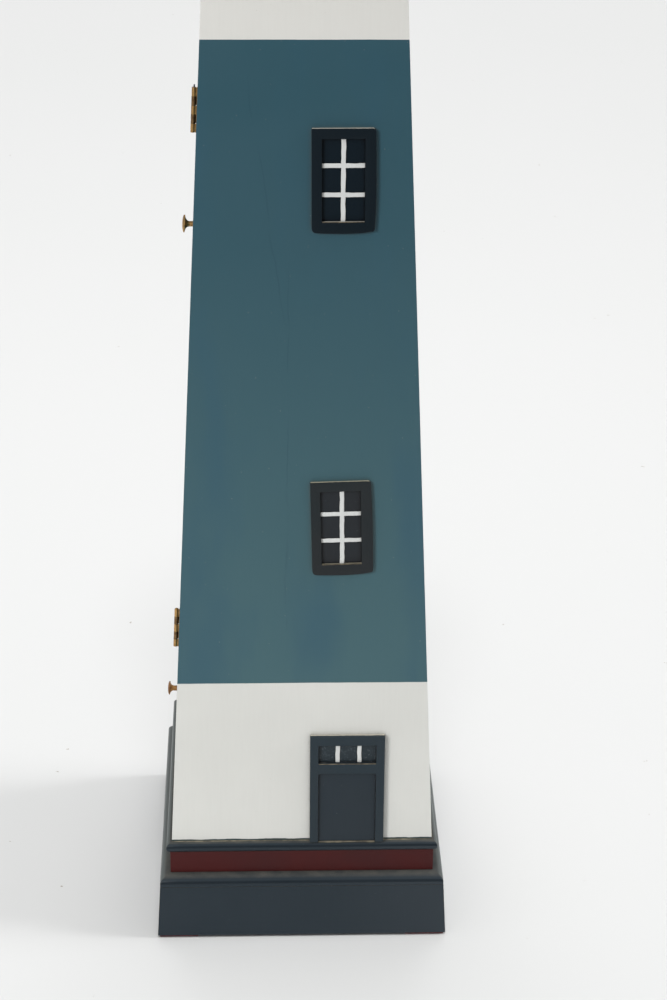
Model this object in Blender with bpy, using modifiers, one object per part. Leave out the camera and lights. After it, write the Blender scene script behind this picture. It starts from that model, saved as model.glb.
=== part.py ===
"""Lighthouse cabinet: a tapered square tower of thin boards on a stepped plinth.

The left side (-X) holds a tall hinged door with shelves behind it and a small drawer below.
The front (-Y) carries two mock windows and a mock entry door. A gallery deck, a lantern room
and a pyramid roof close the top. Metres, +Z up, origin under the middle of the plinth.
"""
import math

import bmesh
import bpy
from mathutils import Matrix, Vector

# ---- fits ----------------------------------------------------------------------------------
GAP = 0.0003                     # between two pieces that touch
MITRE_GAP = 0.0003               # each end of a mitred plinth board stands back by this
SIDE_PLAY = 0.0015               # beside the door and the drawer front
FRONT_PLAY = 0.0020              # between the drawer front and the door above it
HEAD_PLAY = 0.0012               # above the door
STOP_PLAY = 0.0010               # from a shelf that stops the door to the door's inner face
DRAWER_PLAY = 0.0020             # beside the drawer box, at the narrow top of the box

# ---- base ----------------------------------------------------------------------------------
FOOT_HEIGHT = 0.003
FOOT_WIDTH = 0.037
FOOT_INSET = 0.0018
PLINTH_BATTER = 0.0033           # outward lean of the plinth's faces, lip to foot
PLINTH_HEIGHT = 0.0547           # the four plinth boards
PLINTH_WALL = 0.012
STEP_EDGE = 0.0026               # straight edge of the plinth's top board
STEP_ROUND = 0.0075              # height of the quarter-round nosing above that edge
STEP_RUN = 0.0099                # from the riser's face out to the plinth's edge
RISER_SETBACK = 0.0035           # riser's face behind the edge of the cap board
RISER_HEIGHT = 0.0242
CAP_MARGIN = 0.0053              # edge of the cap board beyond the tower's foot
CAP_THICKNESS = 0.0106
CAP_ROUND = 0.0045               # radius of the cap board's edges

# ---- tower ---------------------------------------------------------------------------------
TOWER_HALF_FOOT = 0.1233         # half width where the tower stands on the cap board
TAPER = 0.0493                   # inward lean of each face, per unit of height
BOARD = 0.009                    # thickness of the tower's boards and shelves
DRAWER_BAND = 0.1705             # height of the lower white band, which the drawer front fills
DOOR_BAND = 0.5968               # height of the blue band, which the door fills
UPPER_BAND = 0.1501              # height of the upper white band
SHELF_SETBACK = 0.004            # loose edge of a shelf to the closed door
SHELF_COUNT = 3

# ---- drawer --------------------------------------------------------------------------------
DRAWER_SIDE = 0.007
DRAWER_FLOOR = 0.004
DRAWER_FLOOR_LIFT = 0.004
DRAWER_BACK = 0.007
DRAWER_HEADROOM = 0.020          # from the drawer box to the divider above
RUNNER_HEIGHT = 0.008
RUNNER_WIDTH = 0.010
DRAWER_END_PLAY = 0.006          # behind the drawer box

# ---- hinges --------------------------------------------------------------------------------
HINGE_LENGTH = 0.038
HINGE_INSET = {"lower": 0.0526, "upper": 0.0616}     # middle of a hinge to the door's near end
HINGE_PIN_TIPS = {"lower": 0.0010, "upper": 0.0025}
LEAF = 0.0010                    # thickness of a hinge leaf
LEAF_REACH = 0.0105              # from the pin's axis to the hidden edge of a leaf
BARREL_RADIUS = 0.0019
BORE_RADIUS = 0.0011
PIN_RADIUS = 0.0008
BARREL_PROUD = 0.0029            # pin's axis in front of the door's face
KNUCKLES = 5
KNUCKLE_PLAY = 0.0003
HINGE_JOINT = 2.0 * LEAF + 3.0 * GAP

# ---- knobs and catch -----------------------------------------------------------------------
DOOR_KNOB_RISE = 0.3809          # above the door's foot
DOOR_KNOB_TO_EDGE = 0.024        # from the knob to the door's free edge
DOOR_KNOB_RADIUS = 0.0082
DOOR_KNOB_LENGTH = 0.0112
DRAWER_KNOB_RISE = 0.0934        # above the cap board
DRAWER_KNOB_RADIUS = 0.0067
DRAWER_KNOB_LENGTH = 0.0100
KNOB_RIM = 0.83                  # share of a knob's length at which its domed face starts
KNOB_RIM_EDGE = 0.0006           # thickness of the rim
KNOB_RIM_EASE = 0.0002
KNOB_NECK = 0.42                 # share of the length at which the trumpet starts to open
NECK_RADIUS = 0.0025
KNOB_BASE_RADIUS = 0.0031
KNOB_BASE_HEIGHT = 0.0009
KNOB_BASE_SLOPE = 0.0007         # from the base ring up to the neck
SCREW_RADIUS = 0.0015
SCREW_HEAD_RADIUS = 0.0036
SCREW_HEAD = 0.0018
SCREW_BITE = 0.0050              # how far the screw enters the knob
CATCH_SHELF = 2                  # the shelf that the magnet catch stands on
CATCH_SIZE = (0.016, 0.010, 0.032)
STRIKE_SIZE = (0.0012, 0.012, 0.026)

# ---- mock windows and entry door -----------------------------------------------------------
TRIM = 0.0055                    # how far window frames and the door surround stand out
PANE = 0.0010
BAR = 0.0010                     # thickness of a glazing bar
BAR_WIDTH = 0.0045
WINDOW_SIZE = (0.0530, 0.0890)
WINDOW_RAIL = 0.0085
WINDOW_CORNER = 0.0020
WINDOWS = {                      # middle across, middle above the cap board, turn in degrees
    "lower": (0.0338, 0.3294, -1.6),
    "upper": (0.0327, 0.6494, -0.3),
}
ENTRY_MIDDLE = 0.0420
ENTRY_SIZE = (0.0696, 0.1150)
ENTRY_STILE = 0.0078
ENTRY_HEAD = 0.0096              # rail above the transom light
TRANSOM_HEIGHT = 0.0198
ENTRY_RAIL = 0.0105              # rail between the transom light and the door panel
ENTRY_PANEL = 0.0022
ENTRY_SEAT = 0.0008              # lowest edge of the entry door above the cap board
TRANSOM_BARS = {"left": -0.0090, "right": 0.0112}

# ---- top -----------------------------------------------------------------------------------
DECK_MARGIN = 0.0200             # edge of the deck beyond the tower's head
DECK_THICKNESS = 0.0120
DECK_ROUND = 0.0045
CORNICE_MARGIN = 0.0080          # moulding under the deck beyond the tower's head
CORNICE_HEIGHT = 0.0080
RAILING_INSET = 0.0060           # middle of the rails behind the deck's edge
RAILING_HEIGHT = 0.0400
RAIL = 0.0050                    # height and width of the two rails
POST = 0.0056
LANTERN_BASE_HALF = 0.0500
LANTERN_BASE_HEIGHT = 0.0300
LANTERN_HALF = 0.0420
LANTERN_HEIGHT = 0.0860
LANTERN_POST = 0.0080
LANTERN_SILL = 0.0080
GLASS_WALL = 0.0020
LANTERN_CAP_HALF = 0.0540
LANTERN_CAP_THICKNESS = 0.0080
LANTERN_CAP_ROUND = 0.0030
ROOF_HALF = 0.0490
ROOF_TIP_HALF = 0.0050
ROOF_HEIGHT = 0.0520
FINIAL_RADIUS = 0.0090
FINIAL_NECK = 0.0032

# ---- places that follow from the sizes above -------------------------------------------------
CAP_HALF = TOWER_HALF_FOOT + CAP_MARGIN
RISER_HALF = CAP_HALF - RISER_SETBACK
PLINTH_HALF_HEAD = RISER_HALF + STEP_RUN
PLINTH_HALF_FOOT = PLINTH_HALF_HEAD + PLINTH_BATTER
PLINTH_TOP = FOOT_HEIGHT + PLINTH_HEIGHT
STEP_TOP = PLINTH_TOP + STEP_EDGE + STEP_ROUND
RISER_TOP = STEP_TOP + RISER_HEIGHT
CAP_TOP = RISER_TOP + CAP_THICKNESS
DRAWER_TOP = CAP_TOP + DRAWER_BAND
DOOR_TOP = DRAWER_TOP + DOOR_BAND
TOWER_TOP = DOOR_TOP + UPPER_BAND
TOWER_HALF_HEAD = TOWER_HALF_FOOT - TAPER * (TOWER_TOP - CAP_TOP)
DECK_HALF = TOWER_HALF_HEAD + DECK_MARGIN
CORNICE_HALF = TOWER_HALF_HEAD + CORNICE_MARGIN
RAILING_HALF = DECK_HALF - RAILING_INSET
SHELF_PITCH = DOOR_BAND / (SHELF_COUNT + 1)
HINGE_HEIGHTS = {"lower": DRAWER_TOP + HINGE_INSET["lower"], "upper": DOOR_TOP - HINGE_INSET["upper"]}
DOOR_KNOB_HEIGHT = DRAWER_TOP + DOOR_KNOB_RISE
DRAWER_KNOB_HEIGHT = CAP_TOP + DRAWER_KNOB_RISE
CATCH_FOOT = DRAWER_TOP + SHELF_PITCH * CATCH_SHELF + BOARD / 2.0 + GAP
DECK_TOP = TOWER_TOP + CORNICE_HEIGHT + DECK_THICKNESS
LANTERN_FOOT = DECK_TOP + LANTERN_BASE_HEIGHT
LANTERN_TOP = LANTERN_FOOT + LANTERN_HEIGHT
ROOF_FOOT = LANTERN_TOP + LANTERN_CAP_THICKNESS
ROOF_TOP = ROOF_FOOT + ROOF_HEIGHT
LEAN = math.atan(TAPER)
NORMAL_BOARD = BOARD * math.cos(LEAN)

# ---- colours: linear red, green, blue, then roughness and metallic -----------------------------
SLATE = ((0.030, 0.044, 0.058), 0.45, 0.0)
MAROON = ((0.065, 0.014, 0.015), 0.45, 0.0)
BLUE = ((0.050, 0.115, 0.150), 0.50, 0.0)
WHITE = ((0.680, 0.690, 0.650), 0.50, 0.0)
DARK = ((0.012, 0.018, 0.024), 0.50, 0.0)
BARE_WOOD = ((0.520, 0.360, 0.200), 0.60, 0.0)
FELT = ((0.060, 0.020, 0.022), 0.95, 0.0)
BRASS = ((0.450, 0.290, 0.110), 0.35, 1.0)
STEEL = ((0.450, 0.450, 0.460), 0.35, 1.0)
BLACK_PLASTIC = ((0.020, 0.020, 0.022), 0.40, 0.0)
GLASS = ((0.700, 0.780, 0.800), 0.05, 0.0)

ROUND_STEPS = 32
ARC_STEPS = 6


# ---- shared helpers --------------------------------------------------------------------------
def clear_scene():
    """Remove whatever the scene holds."""
    for old in list(bpy.data.objects):
        bpy.data.objects.remove(old, do_unlink=True)


def new_collection(name):
    """Make a collection under the scene."""
    collection = bpy.data.collections.new(name)
    bpy.context.scene.collection.children.link(collection)
    return collection


def principled(name, finish):
    """Make the plain material of one piece."""
    colour, roughness, metallic = finish
    material = bpy.data.materials.new(name + "_finish")
    material.use_nodes = True
    shader = material.node_tree.nodes["Principled BSDF"]
    shader.inputs["Base Color"].default_value = (*colour, 1.0)
    shader.inputs["Roughness"].default_value = roughness
    shader.inputs["Metallic"].default_value = metallic
    material.diffuse_color = (*colour, 1.0)
    return material


def add_piece(name, mesh, finish, frame=None):
    """Put a mesh in the cabinet's collection as one named piece."""
    piece = bpy.data.objects.new(name, mesh)
    PIECES.objects.link(piece)
    mesh.materials.append(principled(name, finish))
    if frame is not None:
        piece.matrix_world = frame
    return piece


def mesh_from(name, bm):
    """Turn a bmesh into mesh data."""
    mesh = bpy.data.meshes.new(name)
    bm.to_mesh(mesh)
    bm.free()
    return mesh


def box_mesh(name, size, middle=(0.0, 0.0, 0.0)):
    """A box of the given size around its middle."""
    bm = bmesh.new()
    bmesh.ops.create_cube(bm, size=1.0)
    bmesh.ops.scale(bm, vec=size, verts=bm.verts)
    bmesh.ops.translate(bm, vec=middle, verts=bm.verts)
    return mesh_from(name, bm)


def box(name, size, middle, finish, frame=None):
    """A box-shaped piece."""
    return add_piece(name, box_mesh(name, size, middle), finish, frame)


def rod_mesh(name, radius, low, high, steps=ROUND_STEPS):
    """A round rod along Z from low to high."""
    bm = bmesh.new()
    middle = Matrix.Translation((0.0, 0.0, (low + high) / 2.0))
    bmesh.ops.create_cone(bm, cap_ends=True, segments=steps, radius1=radius, radius2=radius,
                          depth=high - low, matrix=middle)
    return mesh_from(name, bm)


def add_cutter(name, mesh, frame=None):
    """A tool that shapes other pieces and isn't part of the cabinet."""
    cutter = bpy.data.objects.new(name, mesh)
    CUTTERS.objects.link(cutter)
    cutter.hide_render = True
    cutter.display_type = "WIRE"
    if frame is not None:
        cutter.matrix_world = frame
    return cutter


def combine(piece, tool, operation):
    """Cut a tool away from a piece, or join it on."""
    modifier = piece.modifiers.new(tool.name, "BOOLEAN")
    modifier.object = tool
    modifier.operation = operation
    modifier.solver = "EXACT"


def cut_box(piece, name, size, middle, frame=None):
    """Cut a box out of a piece."""
    combine(piece, add_cutter(name, box_mesh(name, size, middle), frame), "DIFFERENCE")


def join_box(piece, name, size, middle, frame=None):
    """Join a box onto a piece."""
    combine(piece, add_cutter(name, box_mesh(name, size, middle), frame), "UNION")


def turning_modifier(piece, steps):
    """Turn a profile in the XZ plane about Z."""
    screw = piece.modifiers.new("turning", "SCREW")
    screw.axis = "Z"
    screw.angle = math.tau
    screw.steps = steps
    screw.render_steps = steps
    screw.use_merge_vertices = True
    screw.merge_threshold = 0.00005
    screw.use_smooth_shade = steps > 4


def profile_mesh(name, points):
    """A chain of edges through points of radius and height, top to bottom."""
    mesh = bpy.data.meshes.new(name)
    edges = [(i, i + 1) for i in range(len(points) - 1)]
    mesh.from_pydata([(radius, 0.0, height) for radius, height in points], edges, [])
    return mesh


def turned(name, points, finish, frame=None, steps=ROUND_STEPS):
    """A round piece turned from its profile."""
    piece = add_piece(name, profile_mesh(name, points), finish, frame)
    turning_modifier(piece, steps)
    return piece


def square_moulding(name, points, finish):
    """A square board or pyramid whose four sides follow one profile.

    Its points are half widths and heights, top to bottom. Four turning steps make the square.
    """
    diagonal = [(half * math.sqrt(2.0), height) for half, height in points]
    frame = Matrix.Rotation(math.radians(45.0), 4, "Z")
    return turned(name, diagonal, finish, frame, steps=4)


def arc(middle, radius, start, end, steps=ARC_STEPS):
    """Points of an arc, with its angles in degrees."""
    angles = [math.radians(start + (end - start) * i / steps) for i in range(steps + 1)]
    return [(middle[0] + radius * math.cos(a), middle[1] + radius * math.sin(a)) for a in angles]


def rounded_board(half, low, high, radius):
    """Profile of a square board with rounded upper and lower edges."""
    upper = arc((half - radius, high - radius), radius, 90.0, 0.0)
    lower = arc((half - radius, low + radius), radius, 0.0, -90.0)
    return [(0.0, high)] + upper + lower + [(0.0, low)]


def tower_half(height):
    """Half width of the tower at a height."""
    return TOWER_HALF_FOOT - TAPER * (height - CAP_TOP)


def tapered_board(name, low, high, x_span, y_span, finish):
    """A board between two heights whose sides follow the tower's taper.

    x_span and y_span give the lowest and highest value at a height.
    """
    bm = bmesh.new()
    bmesh.ops.create_cube(bm, size=2.0)
    for vert in bm.verts:
        height = high if vert.co.z > 0.0 else low
        x_low, x_high = x_span(height)
        y_low, y_high = y_span(height)
        vert.co = Vector((x_high if vert.co.x > 0.0 else x_low,
                          y_high if vert.co.y > 0.0 else y_low, height))
    return add_piece(name, mesh_from(name, bm), finish)


def between_panels(height):
    """Room from the front panel to the back panel."""
    reach = tower_half(height) - BOARD - GAP
    return -reach, reach


def door_side_opening(height):
    """Room for the drawer front, with play on both sides."""
    reach = tower_half(height) - BOARD - SIDE_PLAY
    return -reach, reach


def left_board(height):
    """The left side's board, from outer to inner face."""
    return -tower_half(height), -tower_half(height) + BOARD


def front_frame(across, height, turn=0.0):
    """Place on the front face: X to the right, Z up the slope, -Y straight out of the face."""
    place = Matrix.Translation((across, -tower_half(height), height))
    return place @ Matrix.Rotation(-LEAN, 4, "X") @ Matrix.Rotation(math.radians(turn), 4, "Y")


def left_frame(depth, height):
    """Place on the left face, with Z straight out of the face."""
    place = Matrix.Translation((-tower_half(height), depth, height))
    return place @ Matrix.Rotation(-(math.pi / 2.0 - LEAN), 4, "Y")


# ---- base ------------------------------------------------------------------------------------
def foot_pads():
    """Four thin pads under the corners of the plinth."""
    reach = PLINTH_HALF_FOOT - FOOT_INSET - FOOT_WIDTH / 2.0
    corners = {"front_left": (-1, -1), "front_right": (1, -1),
               "back_left": (-1, 1), "back_right": (1, 1)}
    thickness = FOOT_HEIGHT - GAP
    for corner, (x_sign, y_sign) in corners.items():
        middle = (x_sign * reach, y_sign * reach, thickness / 2.0)
        box("foot_pad_" + corner, (FOOT_WIDTH, FOOT_WIDTH, thickness), middle, FELT)


def plinth_half(height):
    """Half width of the plinth's battered face at a height."""
    share = (height - FOOT_HEIGHT) / (PLINTH_HEIGHT + STEP_EDGE)
    return PLINTH_HALF_FOOT + (PLINTH_HALF_HEAD - PLINTH_HALF_FOOT) * share


def plinth_board(name, turn):
    """One mitred board of the plinth, made at the front and turned into place."""
    bm = bmesh.new()
    bmesh.ops.create_cube(bm, size=2.0)
    for vert in bm.verts:
        height = PLINTH_TOP - GAP if vert.co.z > 0.0 else FOOT_HEIGHT
        wall = PLINTH_WALL if vert.co.y > 0.0 else 0.0
        reach = plinth_half(height) - wall
        end = reach - MITRE_GAP
        vert.co = Vector((end if vert.co.x > 0.0 else -end, -reach, height))
    frame = Matrix.Rotation(math.radians(turn), 4, "Z")
    add_piece(name, mesh_from(name, bm), SLATE, frame)


def plinth():
    """The four boards of the plinth and the moulded board on top of them."""
    for name, turn in (("front", 0.0), ("right", 90.0), ("back", 180.0), ("left", 270.0)):
        plinth_board("plinth_" + name, turn)
    nosing = []
    for step in range(ARC_STEPS + 1):
        angle = math.radians(90.0 * step / ARC_STEPS)
        nosing.append((RISER_HALF + STEP_RUN * math.sin(angle),
                       STEP_TOP - STEP_ROUND * (1.0 - math.cos(angle))))
    foot = [(plinth_half(PLINTH_TOP), PLINTH_TOP), (0.0, PLINTH_TOP)]
    square_moulding("plinth_top_board", [(0.0, STEP_TOP)] + nosing + foot, SLATE)


def riser_and_cap():
    """The maroon riser and the rounded cap board that the tower stands on."""
    riser = [(0.0, RISER_TOP - GAP), (RISER_HALF, RISER_TOP - GAP),
             (RISER_HALF, STEP_TOP + GAP), (0.0, STEP_TOP + GAP)]
    square_moulding("riser_board", riser, MAROON)
    square_moulding("base_cap_board", rounded_board(CAP_HALF, RISER_TOP, CAP_TOP, CAP_ROUND), SLATE)


# ---- tower -----------------------------------------------------------------------------------
def tower_panels():
    """The fixed boards of the tower."""
    foot = CAP_TOP + GAP

    def full_width(height):
        return -tower_half(height), tower_half(height)

    tapered_board("front_panel", foot, TOWER_TOP, full_width,
                  lambda z: (-tower_half(z), -tower_half(z) + BOARD), BLUE)
    tapered_board("back_panel", foot, TOWER_TOP, full_width,
                  lambda z: (tower_half(z) - BOARD, tower_half(z)), BLUE)
    tapered_board("right_panel", foot, TOWER_TOP,
                  lambda z: (tower_half(z) - BOARD, tower_half(z)), between_panels, BLUE)
    tapered_board("left_upper_panel", DOOR_TOP, TOWER_TOP, left_board, between_panels, WHITE)


def shelf(name, middle, left_play):
    """A level board inside the tower, with its free edge behind the door."""
    tapered_board(name, middle - BOARD / 2.0, middle + BOARD / 2.0,
                  lambda z: (-tower_half(z) + BOARD + left_play, tower_half(z) - BOARD - GAP),
                  between_panels, BARE_WOOD)


def shelves():
    """The drawer divider, the shelves and the boards that close the cupboard and the tower."""
    shelf("drawer_divider", DRAWER_TOP, STOP_PLAY)
    shelf("door_lintel", DOOR_TOP, STOP_PLAY)
    for number in range(1, SHELF_COUNT + 1):
        shelf("shelf_" + str(number), DRAWER_TOP + SHELF_PITCH * number, SHELF_SETBACK)
    tapered_board("tower_top_board", TOWER_TOP - BOARD, TOWER_TOP,
                  lambda z: (-tower_half(z) + BOARD + GAP, tower_half(z) - BOARD - GAP),
                  between_panels, BARE_WOOD)


# ---- door ------------------------------------------------------------------------------------
def knob_profile(radius, length):
    """Trumpet-shaped knob: domed disc, hollow neck, small base ring and a blind screw hole."""
    bore = SCREW_RADIUS + GAP
    rim = length * KNOB_RIM
    neck_top = length * KNOB_NECK
    mouth = radius - KNOB_RIM_EASE
    dome = [(radius * math.cos(math.radians(a)), rim + (length - rim) * math.sin(math.radians(a)))
            for a in (90.0, 70.0, 50.0, 30.0, 12.0)]
    trumpet = []
    for step in range(ARC_STEPS + 1):
        angle = math.radians(90.0 * step / ARC_STEPS)
        trumpet.append((mouth - (mouth - NECK_RADIUS) * math.sin(angle),
                        neck_top + (rim - KNOB_RIM_EDGE - neck_top) * math.cos(angle)))
    base = [(NECK_RADIUS, KNOB_BASE_HEIGHT + KNOB_BASE_SLOPE),
            (KNOB_BASE_RADIUS, KNOB_BASE_HEIGHT), (KNOB_BASE_RADIUS, GAP), (bore, GAP)]
    hole = [(bore, SCREW_BITE + GAP), (0.0, SCREW_BITE + GAP)]
    return dome + trumpet + base + hole


def knob(name, frame, radius, length):
    """A brass knob standing on a frame whose Z points out of the board."""
    turned(name, knob_profile(radius, length), BRASS, frame)


def knob_screw(name, frame):
    """The screw that holds a knob from behind the board."""
    seat = -NORMAL_BOARD - GAP
    head = [(0.0, SCREW_BITE), (SCREW_RADIUS, SCREW_BITE), (SCREW_RADIUS, seat),
            (SCREW_HEAD_RADIUS, seat), (SCREW_HEAD_RADIUS * 0.9, seat - SCREW_HEAD * 0.6),
            (SCREW_HEAD_RADIUS * 0.5, seat - SCREW_HEAD), (0.0, seat - SCREW_HEAD)]
    turned(name, head, STEEL, frame, steps=20)


def drill_for_screw(board, frame):
    """A clear hole for a knob's screw."""
    mesh = rod_mesh(board.name + "_drill", SCREW_RADIUS + 2.0 * GAP, -3.0 * BOARD, 3.0 * BOARD, 20)
    combine(board, add_cutter(board.name + "_drill", mesh, frame), "DIFFERENCE")


def door_free_edge(height):
    """Depth of the door's free edge at a height."""
    return tower_half(height) - BOARD - SIDE_PLAY


def cabinet_door():
    """The tall door with its knob, screw and strike plate."""
    door = tapered_board("cabinet_door", DRAWER_TOP + FRONT_PLAY / 2.0, DOOR_TOP - HEAD_PLAY,
                         left_board,
                         lambda z: (-tower_half(z) + BOARD + HINGE_JOINT, door_free_edge(z)), BLUE)
    frame = left_frame(door_free_edge(DOOR_KNOB_HEIGHT) - DOOR_KNOB_TO_EDGE, DOOR_KNOB_HEIGHT)
    drill_for_screw(door, frame)
    knob("door_knob", frame, DOOR_KNOB_RADIUS, DOOR_KNOB_LENGTH)
    knob_screw("door_knob_screw", frame)
    thickness, width, height = STRIKE_SIZE
    low = CATCH_FOOT + (CATCH_SIZE[2] - height) / 2.0
    tapered_board("strike_plate", low, low + height,
                  lambda z: (-tower_half(z) + BOARD + GAP,
                             -tower_half(z) + BOARD + GAP + thickness),
                  lambda z: (door_free_edge(z) - GAP - width, door_free_edge(z) - GAP), STEEL)


def magnet_catch():
    """The magnet on the back panel that holds the strike plate."""
    thickness, width, height = CATCH_SIZE
    reach = BOARD + STRIKE_SIZE[0] + 2.0 * GAP
    tapered_board("magnet_catch", CATCH_FOOT, CATCH_FOOT + height,
                  lambda z: (-tower_half(z) + reach, -tower_half(z) + reach + thickness),
                  lambda z: (tower_half(z) - BOARD - GAP - width, tower_half(z) - BOARD - GAP),
                  BLACK_PLASTIC)


# ---- hinges ----------------------------------------------------------------------------------
def hinge_frame(height):
    """Place on the pin's axis: Z up the tower's edge, Y towards the door, X into the tower."""
    along = Vector((TAPER, TAPER, 1.0)).normalized()
    across = Vector((0.0, 1.0, -TAPER)).normalized()
    inward = across.cross(along).normalized()
    rows = Matrix((inward, across, along)).transposed().to_4x4()
    half = tower_half(height)
    return Matrix.Translation((-half - BARREL_PROUD, -half + BOARD + HINGE_JOINT / 2.0,
                               height)) @ rows


def knuckle_span(index):
    """Lowest and highest point of a knuckle, counted from the bottom."""
    pitch = (HINGE_LENGTH + KNUCKLE_PLAY) / KNUCKLES
    low = -HINGE_LENGTH / 2.0 + pitch * index
    return low, low + pitch - KNUCKLE_PLAY


def hinge_leaf(name, frame, side, own):
    """One leaf: a plate in the joint with its knuckles around the pin.

    side is -1 for the leaf on the frame and 1 for the leaf on the door.
    """
    thickness_middle = side * (GAP + LEAF) / 2.0
    leaf = box(name, (LEAF_REACH, LEAF, HINGE_LENGTH), (LEAF_REACH / 2.0, thickness_middle, 0.0),
               BRASS, frame)
    notch_reach = BARREL_RADIUS + 2.0 * GAP
    for index in range(KNUCKLES):
        low, high = knuckle_span(index)
        label = name + "_" + str(index)
        if index in own:
            combine(leaf, add_cutter(label, rod_mesh(label, BARREL_RADIUS, low, high, 20), frame),
                    "UNION")
        else:
            cut_box(leaf, label, (2.0 * notch_reach, 4.0 * LEAF, high - low + 2.0 * KNUCKLE_PLAY),
                    (0.0, thickness_middle, (low + high) / 2.0), frame)
    bore = rod_mesh(name + "_bore", BORE_RADIUS, -HINGE_LENGTH, HINGE_LENGTH, 16)
    combine(leaf, add_cutter(name + "_bore", bore, frame), "DIFFERENCE")


def hinge(place, height):
    """A five-knuckle butt hinge in the joint between the front panel and the door."""
    frame = hinge_frame(height)
    hinge_leaf(place + "_hinge_frame_leaf", frame, -1.0, (0, 2, 4))
    hinge_leaf(place + "_hinge_door_leaf", frame, 1.0, (1, 3))
    top = HINGE_LENGTH / 2.0
    tip = top + HINGE_PIN_TIPS[place]
    pin = [(0.0, tip), (PIN_RADIUS * 0.6, tip), (PIN_RADIUS, tip - PIN_RADIUS * 0.5),
           (PIN_RADIUS, -top), (0.0, -top)]
    turned(place + "_hinge_pin", pin, BRASS, frame, steps=16)


# ---- drawer ----------------------------------------------------------------------------------
def drawer_box_top():
    """Upper edge of the drawer box."""
    return DRAWER_TOP - BOARD / 2.0 - DRAWER_HEADROOM


def drawer_box_half():
    """Half width of the drawer box, which clears the tower at its upper edge."""
    return tower_half(drawer_box_top()) - BOARD - DRAWER_PLAY


def behind_drawer_front(height):
    """Where the drawer box meets the drawer front."""
    return -tower_half(height) + BOARD + GAP


def drawer():
    """The drawer front, the box behind it, and its knob."""
    front = tapered_board("drawer_front", CAP_TOP + FRONT_PLAY / 2.0, DRAWER_TOP - FRONT_PLAY / 2.0,
                          left_board, door_side_opening, WHITE)
    frame = left_frame(0.0, DRAWER_KNOB_HEIGHT)
    drill_for_screw(front, frame)
    knob("drawer_knob", frame, DRAWER_KNOB_RADIUS, DRAWER_KNOB_LENGTH)
    knob_screw("drawer_knob_screw", frame)
    low = CAP_TOP + GAP + RUNNER_HEIGHT + GAP
    high = drawer_box_top()
    outer = drawer_box_half()
    inner = outer - DRAWER_SIDE
    back = tower_half(high) - BOARD - DRAWER_END_PLAY
    for side, sign in (("front", -1.0), ("back", 1.0)):
        span = sorted((sign * outer, sign * inner))
        tapered_board("drawer_side_" + side, low, high, lambda z: (behind_drawer_front(z), back),
                      lambda z, span=span: span, BARE_WOOD)
    room = inner - GAP
    tapered_board("drawer_back", low, high, lambda z: (back - DRAWER_BACK, back),
                  lambda z: (-room, room), BARE_WOOD)
    floor_low = low + DRAWER_FLOOR_LIFT
    tapered_board("drawer_bottom", floor_low, floor_low + DRAWER_FLOOR,
                  lambda z: (behind_drawer_front(z), back - DRAWER_BACK - GAP),
                  lambda z: (-room, room), BARE_WOOD)


def runners():
    """Two strips on the cap board that carry the drawer's sides."""
    middle = drawer_box_half() - DRAWER_SIDE / 2.0
    low = CAP_TOP + GAP
    for side, sign in (("front", -1.0), ("back", 1.0)):
        y_low = sign * middle - RUNNER_WIDTH / 2.0
        tapered_board("drawer_runner_" + side, low, low + RUNNER_HEIGHT,
                      lambda z: (-tower_half(z) + BOARD + STOP_PLAY,
                                 tower_half(z) - BOARD - GAP),
                      lambda z, y_low=y_low: (y_low, y_low + RUNNER_WIDTH), BARE_WOOD)


# ---- mock windows and entry door ----------------------------------------------------------------
def round_corners(piece, radius):
    """Round the edges of a box that run through its thickness (Y)."""
    weights = piece.data.attributes.new("bevel_weight_edge", "FLOAT", "EDGE")
    for edge in piece.data.edges:
        start, end = (piece.data.vertices[i].co for i in edge.vertices)
        runs_through = abs(start.y - end.y) > 0.5 * TRIM
        weights.data[edge.index].value = 1.0 if runs_through else 0.0
    bevel = piece.modifiers.new("corners", "BEVEL")
    bevel.width = radius
    bevel.segments = 3
    bevel.limit_method = "WEIGHT"


def window(place):
    """A mock window: a frame on the face, a dark pane in it, and its glazing bars."""
    across, rise, turn = WINDOWS[place]
    frame = front_frame(across, CAP_TOP + rise, turn)
    wide, tall = WINDOW_SIZE
    clear_wide = wide - 2.0 * WINDOW_RAIL
    clear_tall = tall - 2.0 * WINDOW_RAIL
    name = place + "_window"
    surround = box(name + "_frame", (wide, TRIM, tall), (0.0, -GAP - TRIM / 2.0, 0.0), DARK, frame)
    round_corners(surround, WINDOW_CORNER)
    cut_box(surround, name + "_opening", (clear_wide, 4.0 * TRIM, clear_tall), (0.0, 0.0, 0.0),
            frame)
    box(name + "_pane", (clear_wide - 2.0 * GAP, PANE, clear_tall - 2.0 * GAP),
        (0.0, -GAP - PANE / 2.0, 0.0), DARK, frame)
    depth = -2.0 * GAP - PANE - BAR / 2.0
    bars = box(name + "_bars", (BAR_WIDTH, BAR, clear_tall - 2.0 * GAP), (0.0, depth, 0.0), WHITE,
               frame)
    for row, sign in (("low", -1.0), ("high", 1.0)):
        join_box(bars, name + "_bar_" + row, (clear_wide - 2.0 * GAP, BAR, BAR_WIDTH),
                 (0.0, depth, sign * clear_tall / 6.0), frame)


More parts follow.
